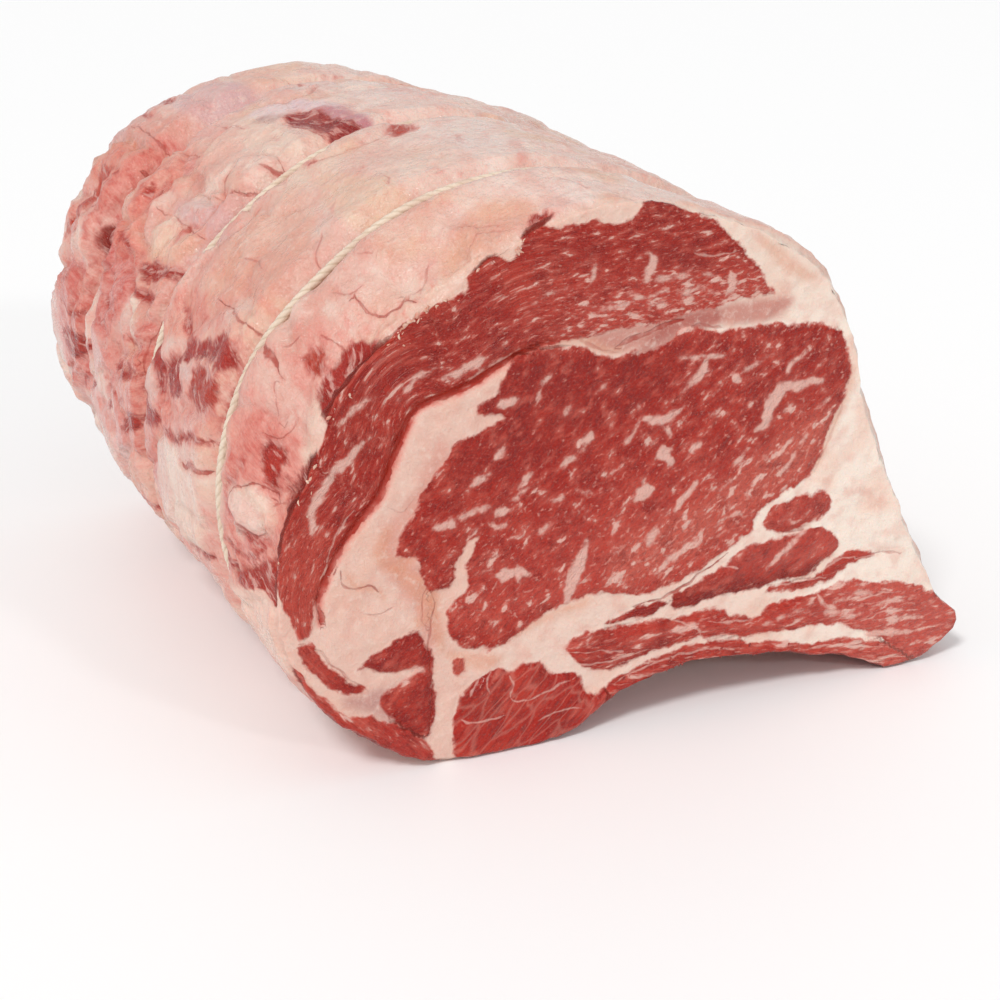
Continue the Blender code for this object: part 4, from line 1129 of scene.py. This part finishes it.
for amount, low, high, most, code in (
    (pattern["clouds"], 0.45, 0.7, 0.4, "#B03528"),
    (pattern["clouds"], 0.5, 0.33, 0.55, "#7C120C"),
    (pattern["threads"], 0.5, 0.68, 0.38, "#74120D"),
    (pattern["threads"], 0.5, 0.32, 0.3, "#B8402F"),
    (pattern["streaks"], 0.52, 0.7, 0.34, "#CA6E60"),
    (pattern["pores"], 0.56, 0.74, 0.3, "#C8705F"),
    (bordered, 0.0, 1.0, 0.45, "#D48F80"),
    (speckled, 0.0, 0.14, 0.6, "#D89A8C"),
    (marbling["pink"], 0.0, 1.0, 0.36, "#C25A4C"),
    (marbling["white"], 0.0, 1.0, 0.8, "#E2B9AC"),
    (drawn["film"], 0.0, 1.0, 0.5, "#E0B6AA"),
):
    share = add_node(beef, "ShaderNodeMapRange", {
        "Value": amount, "From Min": low, "From Max": high, "To Max": most,
    }, interpolation_type="SMOOTHSTEP").outputs["Result"]
    red = add_node(beef, "ShaderNodeMix", {0: share, 6: red, 7: hex_colour(code)},
                   data_type="RGBA").outputs[2]
# Where the change is gradual a torn skin lies over the lean in pale strands.
strands = add_node(beef, "ShaderNodeMapRange", {
    "Value": pattern["streaks"], "From Min": 0.52, "From Max": 0.66, "To Max": 0.6,
}, interpolation_type="SMOOTHSTEP").outputs["Result"]
strands = add_node(beef, "ShaderNodeMath", {0: strands, 1: gradual}, operation="MULTIPLY").outputs[0]
red = add_node(beef, "ShaderNodeMix", {0: strands, 6: red, 7: hex_colour("#DDB0A6")},
               data_type="RGBA").outputs[2]
colour = add_node(beef, "ShaderNodeMix", {0: is_lean, 6: fat, 7: red}, data_type="RGBA").outputs[2]
# Painted shade and blood in the creases.
colour = add_node(beef, "ShaderNodeMix", {0: crease_blood_and_shade, 6: colour, 7: hex_colour("#9C2414")},
                  data_type="RGBA").outputs[2]
# Wetness deepens every colour a little.
colour = add_node(beef, "ShaderNodeHueSaturation", {
    "Color": colour, "Saturation": 1.03, "Value": 1.0,
}).outputs["Color"]

# Wet, but unevenly: gloss comes and goes in the clouds, and the relief is finest on fat.
rough = add_node(beef, "ShaderNodeMath", {0: pattern["clouds"], 1: 0.7, 2: -0.02},
                 operation="MULTIPLY_ADD").outputs[0]
mostly_lean = add_node(beef, "ShaderNodeMapRange", {
    "Value": kept["lean"], "From Min": -0.5, "From Max": 0.5,
}).outputs["Result"]
relieved = add_node(beef, "ShaderNodeMath", {0: off_fine, 1: mostly_lean},
                    operation="MULTIPLY").outputs[0]
pillowed = add_node(beef, "ShaderNodeMath", {0: bundles, 1: 0.3}, operation="SUBTRACT").outputs[0]
pillowed = add_node(beef, "ShaderNodeMath", {0: pillowed, 1: mostly_lean},
                    operation="MULTIPLY").outputs[0]
uneven = add_node(beef, "ShaderNodeMath", {0: mostly_lean, 1: gradual}, operation="MAXIMUM")
uneven = add_node(beef, "ShaderNodeMapRange", {
    "Value": uneven.outputs[0], "To Min": 0.3,
}).outputs["Result"]
height = add_node(beef, "ShaderNodeMath", {0: pattern["grit"], 1: uneven},
                  operation="MULTIPLY").outputs[0]
for amount, tall in ((relieved, 0.7), (pillowed, 0.8), (pattern["pores"], 0.3), (drawn["crease"], -0.45),
                     (drawn["film"], -0.1)):
    height = add_node(beef, "ShaderNodeMath", {0: amount, 1: tall, 2: height},
                      operation="MULTIPLY_ADD").outputs[0]
bump = add_node(beef, "ShaderNodeBump", {
    "Strength": 0.8, "Distance": 1.1 * MM, "Height": height,
}).outputs["Normal"]
surface = beef.nodes["Principled BSDF"]
for socket, value in (("Base Color", colour), ("Roughness", rough), ("Normal", bump),
                      ("Coat Normal", bump)):
    beef.links.new(value, surface.inputs[socket])
for socket, value in (
    ("IOR", 1.4), ("Specular IOR Level", 0.32), ("Subsurface Weight", 0.2),
    ("Subsurface Radius", (1.0, 0.35, 0.25)), ("Subsurface Scale", 1.5 * MM),
    ("Coat Weight", 0.35), ("Coat Roughness", 0.07), ("Coat IOR", 1.38),
):
    surface.inputs[socket].default_value = value

roast = add_piece("beef_roast", points, quads.tolist() + triangles.tolist(), raw_beef)
for name, kind, values in (
    ("lean", "FLOAT", lean), ("softness", "FLOAT", softness), ("fleck", "FLOAT", fleck),
    ("marbled", "FLOAT", marbled), ("bloodied_and_shaded", "FLOAT", bloodied_and_shaded),
    ("crease_side", "FLOAT", crease_side), ("crease_half", "FLOAT", crease_half),
    ("crease_dark", "FLOAT", crease_dark), ("film_side", "FLOAT", film_side),
    ("film_half", "FLOAT", film_half), ("grain", "FLOAT_VECTOR", grain),
    ("fat_colour", "FLOAT_COLOR", np.insert(fat_colour, 3, 1, axis=1)),
    ("lean_colour", "FLOAT_COLOR", np.insert(lean_colour, 3, 1, axis=1)),
):
    field = {"FLOAT": "value", "FLOAT_VECTOR": "vector", "FLOAT_COLOR": "color"}[kind]
    roast.data.attributes.new(name, kind, "POINT").data.foreach_set(field, values.ravel())
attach(roast, "root")
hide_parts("roast")

# ---------------------------------------------------------------------------------------
# The ties: three loops of cotton butcher's twine, twisted from three strands, drawn tight
# round the roast and knotted on the flank with the ends cut short.

TWINE_RADIUS = 1.3
TWINE_SUNK = 0.4  # how far the twine beds into the meat
TWIST_PITCH = 9.0  # millimetres of twine to one turn of its strands
STRAND_DEPTH = 0.11  # how far the strands stand out, as a share of the radius
KNOT_HEIGHT, KNOT_SIZE = 58.0, 0.72
TAIL_LENGTHS = (20.0, 15.0)

butchers_twine = bpy.data.materials.new("Cotton butcher's twine")
butchers_twine.use_nodes = True


def twisted_sweep(material):
    """A Geometry Nodes tree that sweeps a three-strand section along its curves."""
    tree = bpy.data.node_groups.new("Twisted twine", "GeometryNodeTree")
    tree.interface.new_socket("Geometry", in_out="INPUT", socket_type="NodeSocketGeometry")
    for name in ("Radius", "Pitch", "Step", "Strand depth"):
        tree.interface.new_socket(name, in_out="INPUT", socket_type="NodeSocketFloat")
    tree.interface.new_socket("Geometry", in_out="OUTPUT", socket_type="NodeSocketGeometry")
    given = add_node(tree, "NodeGroupInput", {}).outputs
    path = add_node(tree, "GeometryNodeResampleCurve", {
        "Curve": given["Geometry"], "Length": given["Step"],
    }, mode="LENGTH").outputs[0]
    run = add_node(tree, "GeometryNodeSplineParameter", {}).outputs["Length"]
    turns = add_node(tree, "ShaderNodeMath", {0: run, 1: given["Pitch"]},
                     operation="DIVIDE").outputs[0]
    turned = add_node(tree, "ShaderNodeMath", {0: turns, 1: math.tau},
                      operation="MULTIPLY").outputs[0]
    path = add_node(tree, "GeometryNodeSetCurveTilt", {"Curve": path, "Tilt": turned}).outputs[0]
    path = add_node(tree, "GeometryNodeStoreNamedAttribute", {
        "Geometry": path, "Name": "twine_run", "Value": run,
    }, data_type="FLOAT", domain="POINT").outputs[0]
    circle = add_node(tree, "GeometryNodeCurvePrimitiveCircle", {
        "Resolution": 12, "Radius": given["Radius"],
    }).outputs[0]
    share = add_node(tree, "GeometryNodeSplineParameter", {}).outputs["Factor"]
    lobe = add_node(tree, "ShaderNodeMath", {0: share, 1: 1.5 * math.tau},
                    operation="MULTIPLY").outputs[0]
    lobe = add_node(tree, "ShaderNodeMath", {0: lobe}, operation="SINE").outputs[0]
    lobe = add_node(tree, "ShaderNodeMath", {0: lobe}, operation="ABSOLUTE").outputs[0]
    circle = add_node(tree, "GeometryNodeStoreNamedAttribute", {
        "Geometry": circle, "Name": "twine_lobe", "Value": lobe,
    }, data_type="FLOAT", domain="POINT").outputs[0]
    proud = add_node(tree, "ShaderNodeMath", {0: lobe, 1: 0.7}, operation="SUBTRACT").outputs[0]
    swell = add_node(tree, "ShaderNodeMath", {0: proud, 1: given["Strand depth"], 2: 1.0},
                     operation="MULTIPLY_ADD").outputs[0]
    at = add_node(tree, "GeometryNodeInputPosition", {}).outputs[0]
    at = add_node(tree, "ShaderNodeVectorMath", {0: at, "Scale": swell},
                  operation="SCALE").outputs[0]
    circle = add_node(tree, "GeometryNodeSetPosition", {
        "Geometry": circle, "Position": at,
    }).outputs[0]
    swept = add_node(tree, "GeometryNodeCurveToMesh", {
        "Curve": path, "Profile Curve": circle, "Fill Caps": True,
    }).outputs[0]
    swept = add_node(tree, "GeometryNodeSetShadeSmooth", {"Geometry": swept}).outputs[0]
    swept = add_node(tree, "GeometryNodeRealizeInstances", {"Geometry": swept}).outputs[0]
    swept = add_node(tree, "GeometryNodeSetMaterial", {
        "Geometry": swept, "Material": material,
    }).outputs[0]
    add_node(tree, "NodeGroupOutput", {"Geometry": swept})
    return tree


def swept_mesh(name, paths, tree, sizes):
    """Sweeps each path, a list of points and whether it closes, and returns plain mesh."""
    curve = bpy.data.curves.new(name, "CURVE")
    curve.dimensions = "3D"
    for places, closes in paths:
        spline = curve.splines.new("POLY")
        spline.points.add(len(places) - 1)
        spline.use_cyclic_u = closes
        flat = np.insert(np.array(places) * MM, 3, 1, axis=1).ravel()
        spline.points.foreach_set("co", flat)
    holder = bpy.data.objects.new(name + "_path", curve)
    bpy.context.scene.collection.objects.link(holder)
    sweep = holder.modifiers.new("Sweep", "NODES")
    sweep.node_group = tree
    for item in tree.interface.items_tree:
        if item.name in sizes:
            sweep[item.identifier] = sizes[item.name]
    graph = bpy.context.evaluated_depsgraph_get()
    mesh = bpy.data.meshes.new_from_object(holder.evaluated_get(graph))
    mesh.name = name
    bpy.data.objects.remove(holder)
    return mesh


def tie_paths(place, lean):
    """The loop, the knot and the two tails of one tie, as lists of points."""
    ring_here = sections(np.array([place]), trial[::4])[0]
    tight = ring_here[string_round(ring_here)]
    steps = np.linalg.norm(np.roll(tight, -1, 0) - tight, axis=1)
    tight = curve_through(tight[steps > 1.2], np.arange(0, (steps > 1.2).sum(), 0.5))
    tight = tight + outward(tight) * (TWINE_RADIUS - TWINE_SUNK)
    loop = np.stack([tight[:, 0], place + lean * tight[:, 0], tight[:, 1]], -1)
    flank = (loop[:, 0] > 0) & (np.abs(loop[:, 2] - KNOT_HEIGHT) < 14)
    nearest = np.nonzero(flank)[0][np.argmin(np.abs(loop[flank, 2] - KNOT_HEIGHT))]
    up = loop[(nearest + 1) % len(loop)] - loop[nearest - 1]
    up /= np.linalg.norm(up)
    side = np.array((-lean, 1, 0)) / math.hypot(lean, 1)
    out = np.cross(side, up)
    centre = loop[nearest] + out * 0.9
    t = np.linspace(0, math.tau, 40, endpoint=False)[:, None]
    knot = centre + KNOT_SIZE * (
        (np.sin(t) + 2 * np.sin(2 * t)) * side * 0.9
        + (np.cos(t) - 2 * np.cos(2 * t)) * up
        - 1.1 * np.sin(3 * t) * out
    )
    tails = []
    for way, length in zip((-side, side), TAIL_LENGTHS):
        share = np.linspace(0, 1, 12)[:, None]
        curl = 0.8 * np.sin(5 * share + length)
        tails.append((centre + way * (1.4 + 5 * share) - up * length * share
                      + out * (1.6 * share + 0.3 * curl) + side * curl * share, False))
    return [(loop, True), (knot, True), *tails]


twine_sweep = twisted_sweep(butchers_twine)
for tie, place, lean_back, _ in TIES:
    mesh = swept_mesh(tie + "_twine", tie_paths(place, lean_back), twine_sweep, {
        "Radius": TWINE_RADIUS * MM, "Pitch": TWIST_PITCH * MM, "Step": 0.9 * MM,
        "Strand depth": STRAND_DEPTH,
    })
    loop_piece = bpy.data.objects.new(tie + "_twine", mesh)
    bpy.context.scene.collection.objects.link(loop_piece)
    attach(loop_piece, "root")
    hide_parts(tie)

# Unbleached cotton: off-white and dull, with painted shade between the strands, fine fibres,
# and a few stains from the meat.
cotton = butchers_twine.node_tree
spot_at = add_node(cotton, "ShaderNodeTexCoord", {}).outputs["Object"]
strand = add_node(cotton, "ShaderNodeAttribute", {}, attribute_name="twine_lobe").outputs["Fac"]
fibre = add_node(cotton, "ShaderNodeTexNoise", {
    "Vector": spot_at, "Scale": 1.6 * PER_MM, "Detail": 2,
}).outputs["Fac"]
stains = add_node(cotton, "ShaderNodeTexNoise", {
    "Vector": spot_at, "Scale": 0.08 * PER_MM, "Detail": 3,
}).outputs["Fac"]
twine_colour = add_node(cotton, "ShaderNodeMix", {
    0: fibre, 6: hex_colour("#E0C8AE"), 7: hex_colour("#F0E2D2"),
}, data_type="RGBA").outputs[2]
for amount, low, high, most, code in (
    (stains, 0.5, 0.75, 0.5, "#CB9C86"),
    (strand, 0.6, 0.0, 0.5, "#B09676"),
# Painted shade between the strands.
):
    share = add_node(cotton, "ShaderNodeMapRange", {
        "Value": amount, "From Min": low, "From Max": high, "To Max": most,
    }).outputs["Result"]
    twine_colour = add_node(cotton, "ShaderNodeMix", {
        0: share, 6: twine_colour, 7: hex_colour(code),
    }, data_type="RGBA").outputs[2]
fuzz = add_node(cotton, "ShaderNodeBump", {
    "Strength": 0.6, "Distance": 0.3 * MM, "Height": fibre,
}).outputs["Normal"]
twine_surface = cotton.nodes["Principled BSDF"]
cotton.links.new(twine_colour, twine_surface.inputs["Base Color"])
cotton.links.new(fuzz, twine_surface.inputs["Normal"])
twine_surface.inputs["Roughness"].default_value = 0.85
twine_surface.inputs["Sheen Weight"].default_value = 0.2

# ---------------------------------------------------------------------------------------
# Torn edges: crumbs of fat along the ragged rim over the cap, where the cover was pulled
# back from the lean, and shreds of lean along the sawn underside. They cling to the cut.

SHRED_LENGTH, SHRED_SPREAD = 0.8, 1.6  # half a middling shred, and how far they stray, in mm


def scattered_shreds():
    """A Geometry Nodes tree that scatters irregular flakes along its curves."""
    tree = bpy.data.node_groups.new("Shreds along an edge", "GeometryNodeTree")
    tree.interface.new_socket("Geometry", in_out="INPUT", socket_type="NodeSocketGeometry")
    for name, kind in (("Count", "Int"), ("Length", "Float"), ("Spread", "Float"),
                       ("Seed", "Int"), ("Material", "Material")):
        tree.interface.new_socket(name, in_out="INPUT", socket_type="NodeSocket" + kind)
    tree.interface.new_socket("Geometry", in_out="OUTPUT", socket_type="NodeSocketGeometry")
    given = add_node(tree, "NodeGroupInput", {}).outputs
    path = add_node(tree, "GeometryNodeResampleCurve", {
        "Curve": given["Geometry"], "Count": given["Count"],
    }, mode="COUNT").outputs[0]
    stray = add_node(tree, "FunctionNodeRandomValue", {
        0: (-1, -0.2, -0.8), 1: (1, 0.2, 0.8), 8: given["Seed"],
    }, data_type="FLOAT_VECTOR").outputs[0]
    stray = add_node(tree, "ShaderNodeVectorMath", {0: stray, "Scale": given["Spread"]},
                     operation="SCALE").outputs[0]
    path = add_node(tree, "GeometryNodeSetPosition", {"Geometry": path, "Offset": stray}).outputs[0]
    flake = add_node(tree, "GeometryNodeMeshIcoSphere", {
        "Radius": given["Length"], "Subdivisions": 2,
    }).outputs[0]
    turn = add_node(tree, "FunctionNodeRandomValue", {
        0: (-0.5, -3.1, -0.5), 1: (0.5, 3.1, 0.5), 8: given["Seed"],
    }, data_type="FLOAT_VECTOR").outputs[0]
    size = add_node(tree, "FunctionNodeRandomValue", {
        0: (0.4, 0.25, 0.3), 1: (2.2, 0.4, 1.0), 8: given["Seed"],
    }, data_type="FLOAT_VECTOR").outputs[0]
    patches = add_node(tree, "ShaderNodeTexNoise", {"Scale": 90.0, "Detail": 1.0}).outputs["Fac"]
    clustered = add_node(tree, "FunctionNodeCompare", {0: patches, 1: 0.5}).outputs[0]
    flakes = add_node(tree, "GeometryNodeInstanceOnPoints", {
        "Points": path, "Selection": clustered, "Instance": flake, "Rotation": turn, "Scale": size,
    }).outputs[0]
    flakes = add_node(tree, "GeometryNodeRealizeInstances", {"Geometry": flakes}).outputs[0]
    ragged = add_node(tree, "ShaderNodeTexNoise", {"Scale": 700.0, "Detail": 2.0}).outputs["Color"]
    ragged = add_node(tree, "ShaderNodeVectorMath", {0: ragged, 1: (0.5, 0.5, 0.5)},
                      operation="SUBTRACT").outputs[0]
    reach = add_node(tree, "ShaderNodeMath", {0: given["Length"], 1: 1.6},
                     operation="MULTIPLY").outputs[0]
    ragged = add_node(tree, "ShaderNodeVectorMath", {0: ragged, "Scale": reach},
                      operation="SCALE").outputs[0]
    flakes = add_node(tree, "GeometryNodeSetPosition", {
        "Geometry": flakes, "Offset": ragged,
    }).outputs[0]
    flakes = add_node(tree, "GeometryNodeSetShadeSmooth", {"Geometry": flakes}).outputs[0]
    flakes = add_node(tree, "GeometryNodeSetMaterial", {
        "Geometry": flakes, "Material": given["Material"],
    }).outputs[0]
    add_node(tree, "NodeGroupOutput", {"Geometry": flakes})
    return tree


# Torn fat: cream crumbs with a waxy sheen, some pink with blood. Torn lean: red wet threads
# with a few pale ones.
torn = {}
for name, pale, dark in (
    ("Torn fat", "#DDB8A4", "#C98672"), ("Torn lean", "#AC4638", "#86190F"),
):
    torn[name] = bpy.data.materials.new(name)
    torn[name].use_nodes = True
    shred = torn[name].node_tree
    shred_at = add_node(shred, "ShaderNodeTexCoord", {}).outputs["Object"]
    blotches = add_node(shred, "ShaderNodeTexNoise", {
        "Vector": shred_at, "Scale": 0.35 * PER_MM, "Detail": 3,
    }).outputs["Fac"]
    share = add_node(shred, "ShaderNodeMapRange", {
        "Value": blotches, "From Min": 0.42, "From Max": 0.62,
    }).outputs["Result"]
    shade = add_node(shred, "ShaderNodeMix", {
        0: share, 6: hex_colour(pale), 7: hex_colour(dark),
    }, data_type="RGBA").outputs[2]
    shred_surface = shred.nodes["Principled BSDF"]
    shred.links.new(shade, shred_surface.inputs["Base Color"])
    shred_surface.inputs["Roughness"].default_value = 0.35
    shred_surface.inputs["Subsurface Weight"].default_value = 0.2
    shred_surface.inputs["Subsurface Scale"].default_value = 1.0 * MM

shreds = scattered_shreds()
front_rim = loops[0] - 1.0 * outward(loops[0])
for name, first, last, number, material in (
    ("torn_fat_crumbs", 17.2, 22.5, 420, torn["Torn fat"]),
    ("torn_lean_shreds", 0.3, 7.4, 260, torn["Torn lean"]),
):
    path = np.insert(front_rim[(around > first) & (around < last)], 1, FRONT + 1.2, axis=1)
    mesh = swept_mesh(name, [(path, False)], shreds, {
        "Count": number, "Length": SHRED_LENGTH * MM, "Spread": SHRED_SPREAD * MM, "Seed": 7,
        "Material": material,
    })
    crumbs = bpy.data.objects.new(name, mesh)
    bpy.context.scene.collection.objects.link(crumbs)
    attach(crumbs, "root")
    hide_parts("roast")

# ---------------------------------------------------------------------------------------
# Table, light and camera.

floor_mesh = bpy.data.meshes.new("pale_floor")
floor_mesh.from_pydata([(-15, -15, 0), (15, -15, 0), (15, 15, 0), (-15, 15, 0)], [], [(0, 1, 2, 3)])
pale = bpy.data.materials.new("Pale studio floor")
pale.use_nodes = True
pale.node_tree.nodes["Principled BSDF"].inputs["Base Color"].default_value = (0.97, 0.97, 0.97, 1)
floor_mesh.materials.append(pale)
floor = bpy.data.objects.new("pale_floor", floor_mesh)
bpy.context.scene.collection.objects.link(floor)

world = bpy.data.worlds.new("Studio")
world.use_nodes = True
world.node_tree.nodes["Background"].inputs["Color"].default_value = (1, 1, 1, 1)
world.node_tree.nodes["Background"].inputs["Strength"].default_value = 0.64
bpy.context.scene.world = world

# A soft key from above the left shoulder, and a weaker fill on the cut that makes it glint.
for name, travels, energy, spread in (
    ("soft_key", (0.6, 0.5, -0.9), 1.6, 12),
    ("soft_fill", (-0.25, 0.85, -0.45), 0.35, 5),
):
    sun = bpy.data.lights.new(name, "SUN")
    sun.energy, sun.angle = energy, math.radians(spread)
    lamp = bpy.data.objects.new(name, sun)
    lamp.rotation_mode = "QUATERNION"
    lamp.rotation_quaternion = Vector(travels).to_track_quat("-Z", "Y")
    bpy.context.scene.collection.objects.link(lamp)

AZIMUTH, ELEVATION = math.radians(24), math.radians(22)
AIM, DISTANCE = Vector((0.0088, 0, 0.0245)), 0.6445
ahead = Vector((
    math.sin(AZIMUTH) * math.cos(ELEVATION),
    math.cos(AZIMUTH) * math.cos(ELEVATION),
    -math.sin(ELEVATION),
))
camera = bpy.data.objects.new("camera", bpy.data.cameras.new("camera"))
camera.data.lens = 75.4
camera.data.sensor_width = 36
camera.location = AIM - ahead * DISTANCE
camera.rotation_mode = "QUATERNION"
camera.rotation_quaternion = ahead.to_track_quat("-Z", "Y")
bpy.context.scene.collection.objects.link(camera)
bpy.context.scene.camera = camera
bpy.context.scene.view_settings.view_transform = "Standard"
